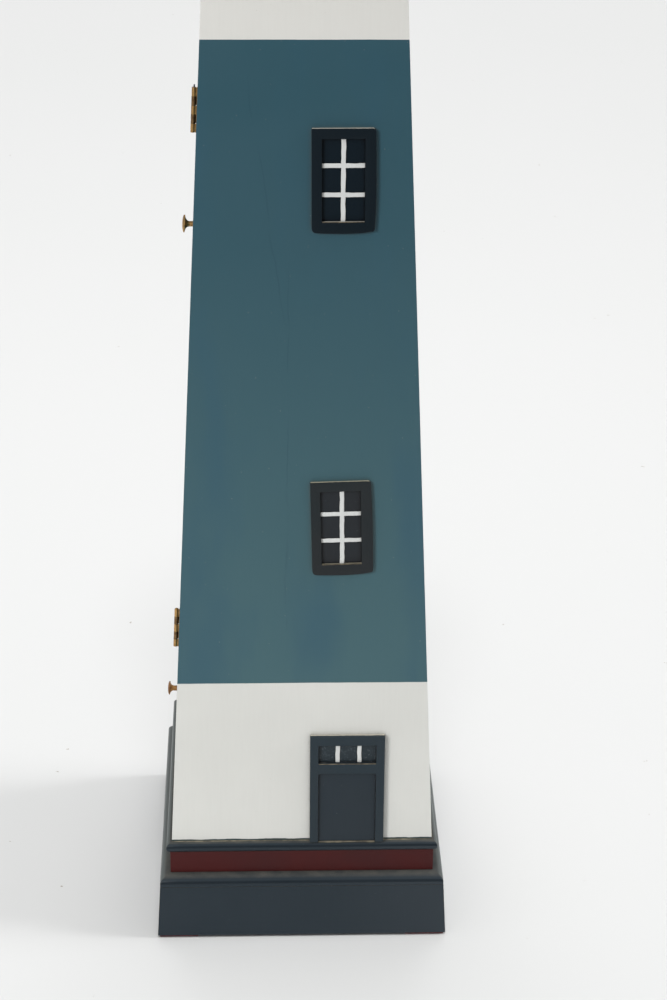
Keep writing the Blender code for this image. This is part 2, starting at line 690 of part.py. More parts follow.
def entry_door():
    """A mock entry door: surround, plain panel, transom light and its two bars."""
    frame = front_frame(ENTRY_MIDDLE, CAP_TOP)
    wide, tall = ENTRY_SIZE
    clear = wide - 2.0 * ENTRY_STILE
    surround = box("entry_surround", (wide, TRIM, tall), (0.0, -GAP - TRIM / 2.0,
                   ENTRY_SEAT + tall / 2.0), SLATE, frame)
    light_middle = ENTRY_SEAT + tall - ENTRY_HEAD - TRANSOM_HEIGHT / 2.0
    cut_box(surround, "transom_opening", (clear, 4.0 * TRIM, TRANSOM_HEIGHT),
            (0.0, 0.0, light_middle), frame)
    panel_top = light_middle - TRANSOM_HEIGHT / 2.0 - ENTRY_RAIL
    cut_box(surround, "entry_opening", (clear, 4.0 * TRIM, 2.0 * panel_top), (0.0, 0.0, 0.0), frame)
    panel_tall = panel_top - GAP - ENTRY_SEAT
    box("entry_door_panel", (clear - 2.0 * GAP, ENTRY_PANEL, panel_tall),
        (0.0, -GAP - ENTRY_PANEL / 2.0, ENTRY_SEAT + panel_tall / 2.0), SLATE, frame)
    light_tall = TRANSOM_HEIGHT - 2.0 * GAP
    box("transom_pane", (clear - 2.0 * GAP, PANE, light_tall),
        (0.0, -GAP - PANE / 2.0, light_middle), DARK, frame)
    for side, across in TRANSOM_BARS.items():
        box("transom_bar_" + side, (BAR_WIDTH, BAR, light_tall),
            (across, -2.0 * GAP - PANE - BAR / 2.0, light_middle), WHITE, frame)


# ---- top -------------------------------------------------------------------------------------
def gallery_deck():
    """The overhanging deck with a stepped moulding under it."""
    low = TOWER_TOP + GAP
    step = TOWER_TOP + CORNICE_HEIGHT
    upper = arc((DECK_HALF - DECK_ROUND, DECK_TOP - DECK_ROUND), DECK_ROUND, 90.0, 0.0)
    lower = arc((DECK_HALF - DECK_ROUND, step + DECK_ROUND), DECK_ROUND, 0.0, -90.0)
    profile = [(0.0, DECK_TOP)] + upper + lower
    profile += [(CORNICE_HALF, step), (CORNICE_HALF, low), (0.0, low)]
    square_moulding("gallery_deck", profile, SLATE)


def ring_mesh(name, half, middle):
    """A square ring as a finished mesh, for joining onto the railing."""
    outer = half + RAIL / 2.0
    inner = half - RAIL / 2.0
    bm = bmesh.new()
    bmesh.ops.create_cube(bm, size=1.0)
    bmesh.ops.scale(bm, vec=(2.0 * outer, 2.0 * outer, RAIL), verts=bm.verts)
    sides = [face for face in bm.faces if abs(face.normal.z) > 0.5]
    bmesh.ops.inset_region(bm, faces=sides, thickness=outer - inner, use_even_offset=True)
    caps = [face for face in bm.faces
            if abs(face.normal.z) > 0.5 and face.calc_area() > 3.9 * inner * inner]
    bmesh.ops.bridge_loops(bm, edges=[edge for face in caps for edge in face.edges])
    bmesh.ops.delete(bm, geom=caps, context="FACES_ONLY")
    bmesh.ops.recalc_face_normals(bm, faces=bm.faces)
    bmesh.ops.translate(bm, vec=(0.0, 0.0, middle), verts=bm.verts)
    return mesh_from(name, bm)


def railing_posts():
    """Places of the railing's posts: the corners and two between each pair."""
    thirds = [-RAILING_HALF, -RAILING_HALF / 3.0, RAILING_HALF / 3.0, RAILING_HALF]
    return [(x, y) for x in thirds for y in thirds
            if abs(x) == RAILING_HALF or abs(y) == RAILING_HALF]


def gallery_railing():
    """Two rails around the deck and the posts that carry them."""
    foot = DECK_TOP + GAP
    top = foot + RAILING_HEIGHT
    name = "gallery_railing"
    railing = add_piece(name, ring_mesh(name, RAILING_HALF, top - RAIL / 2.0), WHITE)
    middle = foot + RAILING_HEIGHT * 0.45
    combine(railing, add_cutter("middle_rail", ring_mesh("middle_rail", RAILING_HALF, middle)),
            "UNION")
    height = RAILING_HEIGHT - RAIL / 2.0
    for number, (x, y) in enumerate(railing_posts()):
        join_box(railing, "railing_post_" + str(number), (POST, POST, height),
                 (x, y, foot + height / 2.0))


def lantern():
    """The lantern room: base, frame, glass, cap board, roof and finial."""
    base = [(0.0, LANTERN_FOOT - GAP), (LANTERN_BASE_HALF, LANTERN_FOOT - GAP),
            (LANTERN_BASE_HALF, DECK_TOP + GAP), (0.0, DECK_TOP + GAP)]
    square_moulding("lantern_base", base, MAROON)
    height = LANTERN_HEIGHT - GAP
    middle = LANTERN_FOOT + height / 2.0
    frame = box("lantern_frame", (2.0 * LANTERN_HALF, 2.0 * LANTERN_HALF, height),
                (0.0, 0.0, middle), WHITE)
    clear = 2.0 * (LANTERN_HALF - LANTERN_POST)
    clear_height = height - 2.0 * LANTERN_SILL
    long = 4.0 * LANTERN_HALF
    cut_box(frame, "lantern_view_x", (long, clear, clear_height), (0.0, 0.0, middle))
    cut_box(frame, "lantern_view_y", (clear, long, clear_height), (0.0, 0.0, middle))
    reach = clear / 2.0 - GAP
    low = LANTERN_FOOT + LANTERN_SILL + GAP
    high = LANTERN_FOOT + height - LANTERN_SILL - GAP
    glass = box("lantern_glass", (2.0 * reach, 2.0 * reach, high - low),
                (0.0, 0.0, (low + high) / 2.0), GLASS)
    cut_box(glass, "lantern_room", (2.0 * (reach - GLASS_WALL), 2.0 * (reach - GLASS_WALL), 1.0),
            (0.0, 0.0, middle))


def roof():
    """The cap board over the lantern, the pyramid roof and the finial."""
    square_moulding("lantern_cap", rounded_board(LANTERN_CAP_HALF, LANTERN_TOP, ROOF_FOOT - GAP,
                                                 LANTERN_CAP_ROUND), SLATE)
    slope = [(0.0, ROOF_TOP), (ROOF_TIP_HALF, ROOF_TOP), (ROOF_HALF, ROOF_FOOT), (0.0, ROOF_FOOT)]
    square_moulding("roof", slope, MAROON)
    foot = ROOF_TOP + GAP
    ball_middle = foot + FINIAL_RADIUS * 1.5
    ball = arc((0.0, ball_middle), FINIAL_RADIUS, 90.0, -69.0, 12)
    ball[0] = (0.0, ball[0][1])
    profile = ball + [(FINIAL_NECK * 1.4, foot + 0.0012), (FINIAL_NECK * 1.4, foot), (0.0, foot)]
    turned("finial", profile, BRASS)


def build():
    """Make every piece of the cabinet."""
    foot_pads()
    plinth()
    riser_and_cap()
    tower_panels()
    shelves()
    cabinet_door()
    magnet_catch()
    for place, height in HINGE_HEIGHTS.items():
        hinge(place, height)
    drawer()
    runners()
    for place in WINDOWS:
        window(place)
    entry_door()
    gallery_deck()
    gallery_railing()
    lantern()
    roof()


clear_scene()
PIECES = new_collection("lighthouse_cabinet")
CUTTERS = new_collection("cutters")
build()
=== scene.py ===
"""Looks of the painted lighthouse cabinet: fine shapes, aged paint, brass and studio light."""

import logging
import math
from collections.abc import Callable, Sequence
from dataclasses import dataclass
from enum import Enum

import bmesh
import bpy
from mathutils import Matrix, Vector
from mathutils.noise import noise as field_noise


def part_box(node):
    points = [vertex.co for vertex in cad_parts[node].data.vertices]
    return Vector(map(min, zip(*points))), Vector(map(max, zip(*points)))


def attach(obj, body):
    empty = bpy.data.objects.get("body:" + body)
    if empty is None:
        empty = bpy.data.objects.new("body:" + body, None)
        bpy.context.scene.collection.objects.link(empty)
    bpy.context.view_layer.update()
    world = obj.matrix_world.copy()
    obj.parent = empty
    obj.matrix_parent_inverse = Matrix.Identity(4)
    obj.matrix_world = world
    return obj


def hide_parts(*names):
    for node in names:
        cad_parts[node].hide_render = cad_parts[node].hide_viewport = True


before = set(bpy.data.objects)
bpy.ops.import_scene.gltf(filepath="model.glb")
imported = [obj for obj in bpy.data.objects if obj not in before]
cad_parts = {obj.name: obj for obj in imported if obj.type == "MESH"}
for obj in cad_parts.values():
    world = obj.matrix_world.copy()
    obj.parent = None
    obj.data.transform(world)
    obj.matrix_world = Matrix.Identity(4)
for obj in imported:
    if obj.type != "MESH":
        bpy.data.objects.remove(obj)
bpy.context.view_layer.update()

log = logging.getLogger("lighthouse_cabinet")

Colour = tuple[float, float, float, float]
Point = tuple[float, float]
Spot = tuple[float, float, float]
Socket = bpy.types.NodeSocket
Sockets = dict[str, Socket]
Inputs = bpy.types.NodeInputs
Outputs = tuple[Socket, ...]

MM = 0.001
EDGE_SAMPLES = 4
BOARD = 9.0 * MM
TAPER = 0.0493
LEAN = math.atan(TAPER)
CAP_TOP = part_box("base_cap_board")[1].z
TOWER_HALF_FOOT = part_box("front_panel")[1].x
LOWER_LINE = sum(corner.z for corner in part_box("drawer_divider")) / 2.0
UPPER_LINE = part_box("left_upper_panel")[0].z


class Body(Enum):
    """The cabinet's bodies that new pieces ride on."""

    ROOT = "root"
    DOOR = "door"


class Lights(Enum):
    """What a lamp lights: everything but the floor, or the floor alone."""

    CABINET = "EXCLUDE"
    FLOOR = "INCLUDE"


class Slot(Enum):
    """The record's material slots that new pieces are given; nothing reads them."""

    SLATE = "slate_paint"
    WHITE = "white_paint"
    WINDOW = "window_black"
    BRASS = "brass"


def tint(red: int, green: int, blue: int) -> Colour:
    """Turn an everyday 0 to 255 colour into the linear one that shaders use.

    Args:
        red: Red share.
        green: Green share.
        blue: Blue share.

    Returns:
        Linear red, green, blue and an alpha of one.
    """

    def linear(value: int) -> float:
        """Undo the display curve of one channel."""
        share = value / 255.0
        return share / 12.92 if share <= 0.04045 else ((share + 0.055) / 1.055) ** 2.4

    return (linear(red), linear(green), linear(blue), 1.0)


def tower_half(height: float) -> float:
    """Half width of the tower at a height."""
    return TOWER_HALF_FOOT - TAPER * (height - CAP_TOP)


def on_front(across: float, height: float, turn: float = 0.0) -> Matrix:
    """Place on the front face: X to the right, Z up the slope, -Y out of the face.

    Args:
        across: Distance right of the middle.
        height: Height above the floor.
        turn: Tilt in the plane of the face, in degrees.

    Returns:
        The placement.
    """
    place = Matrix.Translation((across, -tower_half(height), height))
    turned = Matrix.Rotation(math.radians(turn), 4, "Y")
    return place @ Matrix.Rotation(-LEAN, 4, "X") @ turned


# ---- shader graphs ----
class Graph:
    """Short ways to place and join the nodes of one tree."""

    def __init__(self, tree: bpy.types.NodeTree) -> None:
        """Work in one node tree; spot is the position that its patterns follow."""
        self.tree = tree
        self.spot: Socket | None = None

    def feed(self, socket: Socket, value: object) -> None:
        """Link a socket, or set its value.

        Args:
            socket: The socket.
            value: What it gets: another socket, or a plain value.
        """
        if isinstance(value, bpy.types.NodeSocket):
            self.tree.links.new(value, socket)
        else:
            socket.default_value = value

    def put(self, kind: str, feeds: dict | None = None, **settings: object) -> bpy.types.Node:
        """Place a node.

        Args:
            kind: Its type, without the ShaderNode that all of them start with.
            feeds: What goes into its sockets, by name or number.
            **settings: Its own settings.

        Returns:
            The node.
        """
        node = self.tree.nodes.new("ShaderNode" + kind)
        for name, value in settings.items():
            setattr(node, name, value)
        for key, value in (feeds or {}).items():
            self.feed(node.inputs[key], value)
        return node

    def math(self, operation: str, *values: object, clamp: bool = False) -> Socket:
        """Do arithmetic on up to three values."""
        node = self.put("Math", dict(enumerate(values)), operation=operation, use_clamp=clamp)
        return node.outputs[0]

    def product(self, first: object, *others: object) -> Socket:
        """Multiply two or more values.

        Args:
            first: The first value.
            *others: What it is multiplied by.

        Returns:
            The product.
        """
        for other in others:
            first = self.math("MULTIPLY", first, other)
        return first

    def minus(self, first: object, second: object, clamp: bool = False) -> Socket:
        """Subtract the second value from the first."""
        return self.math("SUBTRACT", first, second, clamp=clamp)

    def rest(self, value: object) -> Socket:
        """Give what a value lacks to one."""
        return self.minus(1.0, value)

    def scaled(self, value: object, gain: object, base: object, clamp: bool = False) -> Socket:
        """Multiply a value by a gain and add a base."""
        return self.math("MULTIPLY_ADD", value, gain, base, clamp=clamp)

    def ease(self, value: Socket, low: float, high: float) -> Socket:
        """Rise smoothly from 0 at low to 1 at high."""
        feeds = {0: value, 1: low, 2: high}
        return self.put("MapRange", feeds, interpolation_type="SMOOTHSTEP").outputs[0]

    def between(self, value: Socket, rise: Point, fall: Point) -> Socket:
        """Rise smoothly to 1 over one range, and fall to 0 over a later one."""
        return self.minus(self.ease(value, *rise), self.ease(value, *fall), clamp=True)

    def parts(self, vector: Socket | None = None) -> tuple[Socket, ...]:
        """Split a vector, or else the spot, into X, Y and Z."""
        return tuple(self.put("SeparateXYZ", {0: vector or self.spot}).outputs)

    def normal(self) -> Socket:
        """Give the way that the surface faces."""
        return self.put("NewGeometry").outputs["Normal"]

    def stretch(self, *scale: float) -> Socket:
        """Scale the spot unevenly."""
        return self.put("VectorMath", {0: self.spot, 1: scale}, operation="MULTIPLY").outputs[0]

    def blend(self, share: object, first: object, second: object) -> Socket:
        """Mix two colours by a share."""
        return self.put("Mix", {0: share, 6: first, 7: second}, data_type="RGBA").outputs[2]

    def noise(self, scale: object, detail: float = 2.0, spot: Socket | None = None) -> Socket:
        """Cloudy values around one half."""
        feeds = {"Vector": spot or self.spot, "Scale": scale, "Detail": detail}
        return self.put("TexNoise", feeds).outputs[0]

    def use(self, shared: "Effect", **feeds: object) -> Sockets:
        """Place a shared effect.

        Args:
            shared: Which one.
            **feeds: Its inputs, with spaces written as underscores.

        Returns:
            Its outputs by name.
        """
        node = self.put("Group", node_tree=shared.tree())
        for name, value in {"Spot": self.spot, **feeds}.items():
            self.feed(node.inputs[name.replace("_", " ")], value)
        return {output.name: output for output in node.outputs}

    def mask(self, shared: "Effect", **feeds: object) -> Socket:
        """Place a shared effect and give its first output."""
        return next(iter(self.use(shared, **feeds).values()))


@dataclass(frozen=True)
class Effect:
    """A node group that several finishes share, built the first time it is asked for."""

    name: str
    values: dict[str, float]
    outputs: tuple[str, ...]
    wire: Callable[[Graph, Sockets], Outputs]

    def tree(self) -> bpy.types.NodeTree:
        """Give the group, and build it if it isn't there yet.

        Returns:
            The group.
        """
        known = bpy.data.node_groups.get(self.name)
        if known is not None:
            return known
        tree = bpy.data.node_groups.new(self.name, "ShaderNodeTree")
        tree.interface.new_socket("Spot", in_out="INPUT", socket_type="NodeSocketVector")
        for name, value in self.values.items():
            socket = tree.interface.new_socket(name, in_out="INPUT", socket_type="NodeSocketFloat")
            socket.default_value = value
        for name in self.outputs:
            tree.interface.new_socket(name, in_out="OUTPUT", socket_type="NodeSocketFloat")
        source = tree.nodes.new("NodeGroupInput")
        sink = tree.nodes.new("NodeGroupOutput")
        inputs = {socket.name: socket for socket in source.outputs}
        graph = Graph(tree)
        graph.spot = inputs["Spot"]
        for name, socket in zip(self.outputs, self.wire(graph, inputs)):
            tree.links.new(socket, sink.inputs[name])
        return tree


def effect(name: str, outputs: str, **values: float) -> Callable[[Callable], Effect]:
    """Make a shared effect of the function that wires it.

    Args:
        name: Its node group's name.
        outputs: Its outputs' names, with spaces between them.
        **values: Its inputs' usual values, with underscores for the spaces in names.

    Returns:
        What turns the function into the effect.
    """
    inputs = {key.replace("_", " "): value for key, value in values.items()}
    return lambda wire: Effect(name, inputs, tuple(outputs.split()), wire)


@effect("brushed_paint", "Clouds Strokes", Cloud_Scale=9.0, Stroke_Scale=500.0)
def brushed_paint(graph: Graph, given: Sockets) -> Outputs:
    """Soft clouds of pigment, and fine upright strokes of the brush."""
    clouds = graph.ease(graph.noise(given["Cloud Scale"], 3.0), 0.34, 0.66)
    return clouds, graph.noise(given["Stroke Scale"], 3.0, graph.stretch(1.0, 1.0, 0.025))


@effect("scattered_specks", "Mask", Scale=260.0, Share=0.1)
def scattered_specks(graph: Graph, given: Sockets) -> Outputs:
    """Scattered dots, with a share of the possible places filled.

    Args:
        graph: Where the nodes go.
        given: The group's inputs by name.

    Returns:
        The dots' mask.
    """
    cells = graph.put("TexVoronoi", {"Vector": graph.spot, "Scale": given["Scale"]}).outputs
    chances = graph.put("SeparateColor", {0: cells["Color"]}).outputs
    dot = graph.math("LESS_THAN", cells["Distance"], graph.scaled(chances[0], 0.16, 0.06))
    return (graph.product(dot, graph.math("LESS_THAN", chances[1], given["Share"])),)


@effect("worn_edges", "Mask", Reach=0.6 * MM, Patch_Scale=120.0, Amount=0.4)
def worn_edges(graph: Graph, given: Sockets) -> Outputs:
    """Corners and edges that hands and knocks reach, in patches.

    Args:
        graph: Where the nodes go.
        given: The group's inputs by name.

    Returns:
        The worn places' mask.
    """
    rounded = graph.put("Bevel", {"Radius": given["Reach"]}, samples=EDGE_SAMPLES).outputs[0]
    along = graph.put("VectorMath", {0: rounded, 1: graph.normal()}, operation="DOT_PRODUCT")
    edge = graph.ease(graph.rest(along.outputs["Value"]), 0.015, 0.12)
    limit = graph.product(graph.rest(given["Amount"]), 0.72)
    shown = graph.ease(graph.minus(graph.noise(given["Patch Scale"], 4.0), limit), 0.0, 0.05)
    return (graph.product(edge, shown),)


@effect("settled_dust", "Mask", Amount=0.5, Cover=0.0)
def settled_dust(graph: Graph, given: Sockets) -> Outputs:
    """Dust that settles on whatever faces up, in drifts or as an even cover.

    Args:
        graph: Where the nodes go.
        given: The group's inputs by name.

    Returns:
        The dust's mask.
    """
    ledge = graph.ease(graph.parts(graph.normal())[2], 0.72, 0.99)
    drift = graph.scaled(graph.noise(90.0, 5.0), 1.3, 0.1, clamp=True)
    grain = graph.scaled(graph.noise(1400.0), 1.6, 0.2, clamp=True)
    lying = graph.math("MAXIMUM", graph.product(drift, grain), given["Cover"])
    return (graph.product(ledge, lying, given["Amount"]),)


@effect("nose_shade_and_side_sheen", "Mask Sides", Amount=0.6)
def nose_shade_and_side_sheen(graph: Graph, given: Sockets) -> Outputs:
    """Rounded edges: a painted dark reflection on their steep front parts, and dust with a painted
    highlight on their sides.

    Args:
        graph: Where the nodes go.
        given: The group's inputs by name.

    Returns:
        Masks of the painted dark fronts, and of the sides with dust and painted highlight.
    """
    facing = graph.parts(graph.normal())
    # steep: the front of the round, which gets a painted dark reflection; rolled: the sides, which
    # get dust and a painted highlight.
    steep = graph.between(facing[2], (0.05, 0.20), (0.48, 0.68))
    rolled = graph.between(facing[2], (0.10, 0.50), (0.85, 0.97))
    ahead = graph.rest(graph.ease(facing[1], -0.40, -0.10))
    shade_patches = graph.scaled(graph.noise(24.0, 3.0), 0.5, 0.7, clamp=True)
    dark_front = graph.product(steep, ahead, shade_patches, given["Amount"])
    return dark_front, graph.product(rolled, graph.rest(ahead))


@effect("joint_grime_and_shade", "Mask", Reach=4.0 * MM, Amount=0.5)
def joint_grime_and_shade(graph: Graph, given: Sockets) -> Outputs:
    """Dirt that gathers where pieces meet, and painted shade in corners and recesses.

    Args:
        graph: Where the nodes go.
        given: The group's inputs by name.

    Returns:
        The mask of the dirt and the painted shade.
    """
    # Ambient occlusion darkens joints, corners and recesses: real grime there, and painted shade as
    # well.
    sky = graph.put("AmbientOcclusion", {"Distance": given["Reach"]}, samples=EDGE_SAMPLES)
    closed = graph.ease(graph.rest(sky.outputs["AO"]), 0.12, 0.64)
    patches = graph.scaled(graph.noise(160.0, 4.0), 1.2, 0.1, clamp=True)
    return (graph.product(closed, patches, given["Amount"]),)


@effect("wavy_level", "Above", Level=0.5, Sway=0.6 * MM, Ripple=40.0)
def wavy_level(graph: Graph, given: Sockets) -> Outputs:
    """Which side of a hand-cut, slightly wavy level line a spot is on.

    Args:
        graph: Where the nodes go.
        given: The group's inputs by name.

    Returns:
        A mask that is 1 above the line.
    """
    swing = graph.minus(graph.noise(given["Ripple"], 3.0), 0.5)
    line = graph.scaled(swing, given["Sway"], given["Level"])
    return (graph.ease(graph.minus(graph.parts()[2], line), -0.08 * MM, 0.08 * MM),)


@effect("tower_shell", "Depth")
def tower_shell(graph: Graph, given: Sockets) -> Outputs:
    """Depth of a spot behind the tower's outer faces.

    Args:
        graph: Where the nodes go.
        given: The group's inputs by name.

    Returns:
        The depth.
    """
    across, back, height = graph.parts(given["Spot"])
    reach = graph.math("MAXIMUM", graph.math("ABSOLUTE", across), graph.math("ABSOLUTE", back))
    half = graph.scaled(graph.minus(height, CAP_TOP), -TAPER, TOWER_HALF_FOOT)
    return (graph.minus(half, reach),)


@effect("softwood_grain", "Rings Fibres", Ring_Bend=26.0)
def softwood_grain(graph: Graph, given: Sockets) -> Outputs:
    """Growth rings and fine fibres of softwood that run along Y.

    Args:
        graph: Where the nodes go.
        given: The group's inputs by name.

    Returns:
        The rings and the fibres.
    """
    bent = graph.product(graph.noise(14.0, spot=graph.stretch(1.0, 0.06, 1.0)), given["Ring Bend"])
    rings = graph.ease(graph.math("SINE", bent), -0.6, 1.0)
    return rings, graph.noise(1400.0, spot=graph.stretch(1.0, 0.02, 1.0))


@effect("paint_hairline", "Mask", Foot=0.3, Top=0.8, Foot_Across=0.0, Top_Across=0.0)
def paint_hairline(graph: Graph, given: Sockets) -> Outputs:
    """A thin upright crack in the paint of the front face.

    Args:
        graph: Where the nodes go.
        given: The group's inputs by name.

    Returns:
        The crack's mask.
    """
    across, back, height = graph.parts()
    rise = graph.minus(given["Top"], given["Foot"])
    share = graph.math("DIVIDE", graph.minus(height, given["Foot"]), rise)
    run = graph.minus(given["Top Across"], given["Foot Across"])
    line = graph.scaled(run, share, given["Foot Across"])
    swing = graph.minus(graph.noise(18.0, 4.0), 0.5)
    off = graph.math("ABSOLUTE", graph.minus(across, graph.scaled(swing, 0.010, line)))
    near = graph.rest(graph.ease(off, 0.1 * MM, 0.9 * MM))
    front = graph.math("LESS_THAN", back, -0.05)
    faint = graph.ease(graph.noise(30.0, 3.0), 0.35, 0.6)
    return (graph.product(near, graph.between(share, (0.0, 0.2), (0.8, 1.0)), front, faint),)


# ---- finishes ----
class Finish:
    """What every finish shares: one material, made once."""

    name: str

    def material(self) -> bpy.types.Material:
        """Give the finish's material, and make it if it isn't there yet.

        Returns:
            The material.
        """
        known = bpy.data.materials.get(self.name)
        if known is not None:
            return known
        material = bpy.data.materials.new(self.name)
        material.use_nodes = True
        graph = Graph(material.node_tree)
        graph.spot = graph.put("TexCoord").outputs["Object"]
        self.wire(graph, material.node_tree.nodes["Principled BSDF"].inputs)
        return material

    def wire(self, graph: Graph, shader: Inputs) -> None:
        """Join the finish's nodes to its shader."""
        raise NotImplementedError

    @staticmethod
    def surface(graph: Graph, shader: Inputs, colour: Socket, roughness: Socket,
                height: Socket, bump: Point) -> None:
        """Feed the shader what changes over the surface.

        Args:
            graph: The material's graph.
            shader: The shader's sockets.
            colour: Its base colour.
            roughness: Its roughness.
            height: The height of its fine relief.
            bump: The relief's strength and depth.
        """
        feeds = {"Height": height, "Strength": bump[0], "Distance": bump[1]}
        graph.feed(shader["Base Color"], colour)
        graph.feed(shader["Roughness"], roughness)
        graph.feed(shader["Normal"], graph.put("Bump", feeds).outputs[0])


@dataclass(frozen=True)
class Paint(Finish):
    """Brushed satin paint that has aged."""

    name: str
    colour: Colour
    clouds: Colour
    under: Colour = tint(150, 132, 106)
    dust_colour: Colour = tint(104, 98, 90)
    speck_colour: Colour = tint(120, 128, 130)
    grime_colour: Colour = tint(46, 38, 30)
    cloud_scale: float = 9.0
    roughness: float = 0.42
    strokes: float = 0.06
    wear: float = 0.35
    wear_reach: float = 0.5 * MM
    dust: float = 0.55
    dust_cover: float = 0.0
    grime: float = 0.55
    specks: float = 0.012
    speck_scale: float = 700.0
    speck_strength: float = 0.6
    shine: float = 0.35
    # Painted light on rounded noses: a dark reflection on their fronts, and dust with a painted
    # highlight on their sides.
    nose_shade_amount: float = 0.0
    nose_shade_colour: Colour = tint(17, 28, 36)
    nose_gloss: float = 0.05
    side_dust_and_sheen: float = 0.42
    side_dust_and_sheen_colour: Colour = tint(124, 130, 126)
    grime_reach: float = 4.0 * MM
    dust_reach: float = 0.0
    # Colour towards the right side: a painted reflection.
    right_sheen: Colour | None = None

    def coat(self, graph: Graph, clouds: Socket) -> Socket:
        """Give the paint's colour, before wear and dirt; a painted reflection may make it lighter
        to the right.

        Args:
            graph: Where the nodes go.
            clouds: Mask of the pigment's soft clouds.

        Returns:
            The colour.
        """
        colour = graph.blend(clouds, self.colour, self.clouds)
        if self.right_sheen is None:
            return colour
        # Painted reflection: lighter towards the right side.
        return graph.blend(graph.ease(graph.parts()[0], -0.03, 0.14), colour, self.right_sheen)

    def wire(self, graph: Graph, shader: Inputs) -> None:
        """Lay the paint's colour, then specks, grime with painted shade, dust, painted light on
        rounded noses and worn edges.

        Args:
            graph: Where the nodes go.
            shader: The shader's sockets.
        """
        clouds, strokes = graph.use(brushed_paint, Cloud_Scale=self.cloud_scale).values()
        shade = graph.scaled(strokes, 2.0 * self.strokes, 1.0 - self.strokes)
        feeds = {0: self.coat(graph, clouds), 3: shade}
        colour = graph.put("VectorMath", feeds, operation="SCALE").outputs[0]
        dots = graph.mask(scattered_specks, Scale=self.speck_scale, Share=self.specks)
        colour = graph.blend(graph.product(dots, self.speck_strength), colour, self.speck_colour)
        # Grime and painted shade: darker in joints, corners and recesses.
        grime = graph.mask(joint_grime_and_shade, Reach=self.grime_reach, Amount=self.grime)
        colour = graph.blend(grime, colour, self.grime_colour)
        dust = graph.mask(settled_dust, Amount=self.dust, Cover=self.dust_cover)
        if self.dust_reach > 0.0:
            ragged = graph.scaled(graph.noise(260.0, 3.0), 1.6 * MM, graph.mask(tower_shell))
            edge = (0.6 * MM - self.dust_reach, 0.9 * MM - self.dust_reach)
            dust = graph.product(dust, graph.ease(ragged, *edge))
        colour = graph.blend(dust, colour, self.dust_colour)
        dull = graph.scaled(clouds, 0.08, self.roughness - 0.04)
        if self.nose_shade_amount > 0.0:
            # Rounded noses: a painted dark reflection on the steep front, and on the sides a
            # lighter colour that is dust and a painted highlight.
            dark_front, lit_dusty_sides = graph.use(nose_shade_and_side_sheen, Amount=self.nose_shade_amount).values()
            colour = graph.blend(dark_front, colour, self.nose_shade_colour)
            colour = graph.blend(graph.product(lit_dusty_sides, self.side_dust_and_sheen), colour, self.side_dust_and_sheen_colour)
            dull = graph.scaled(dark_front, -self.nose_gloss, dull)
        worn = graph.mask(worn_edges, Reach=self.wear_reach, Amount=self.wear)
        colour = graph.blend(worn, colour, self.under)
        dull = graph.scaled(worn, 0.25, graph.scaled(dust, 0.4, dull), clamp=True)
        height = graph.scaled(worn, -1.5, graph.scaled(strokes, 0.5, graph.noise(900.0)))
        shader["Specular IOR Level"].default_value = self.shine
        self.surface(graph, shader, colour, dull, height, (0.12, 0.15 * MM))


@dataclass(frozen=True)
class TowerPaint(Paint):
    """The tower's three bands, its dark foot line and the bare wood on its inside."""

    # The blue at the foot and at the top of its band; the lighter foot is a painted reflection of
    # the floor.
    low_blue: Colour = tint(64, 97, 104)
    high_blue: Colour = tint(47, 82, 94)
    blue_cloud: Colour = tint(46, 84, 101)
    crack_blue: Colour = tint(30, 58, 72)
    foot_line: Colour = tint(44, 62, 64)
    high_white: Colour = tint(220, 219, 214)
    wood: "BareWood | None" = None

    def coat(self, graph: Graph, clouds: Socket) -> Socket:
        """Pick the band's colour by height, and bare wood behind the painted faces.

        Args:
            graph: Where the nodes go.
            clouds: Mask of the pigment's soft clouds.

        Returns:
            The colour.
        """
        height = graph.parts()[2]
        white = graph.blend(clouds, self.colour, self.clouds)
        white = graph.blend(graph.ease(height, LOWER_LINE, UPPER_LINE), white, self.high_white)
        # Painted reflection of the floor: the blue is lighter towards the bottom.
        reflection_falloff = graph.ease(height, LOWER_LINE - 0.05, UPPER_LINE - 0.06)
        blue = graph.blend(reflection_falloff, self.low_blue, self.high_blue)
        stain = graph.ease(graph.noise(16.0, 3.0, graph.stretch(1.0, 1.0, 0.3)), 0.48, 0.72)
        blue = graph.blend(graph.product(stain, 0.55), blue, self.blue_cloud)
        for crack in CRACKS:
            line = graph.product(graph.mask(paint_hairline, **crack), 0.30)
            blue = graph.blend(line, blue, self.crack_blue)
        over_low = graph.mask(wavy_level, Level=LOWER_LINE)
        over_high = graph.mask(wavy_level, Level=UPPER_LINE, Ripple=26.0)
        bands = graph.blend(graph.minus(over_low, over_high, clamp=True), white, blue)
        over_foot = graph.mask(wavy_level, Level=CAP_TOP + 2.1 * MM, Sway=2.6 * MM, Ripple=55.0)
        bands = graph.blend(over_foot, self.foot_line, bands)
        inside = graph.ease(graph.mask(tower_shell), 0.93 * BOARD, 0.97 * BOARD)
        return graph.blend(inside, bands, self.wood.timber(graph)[0])


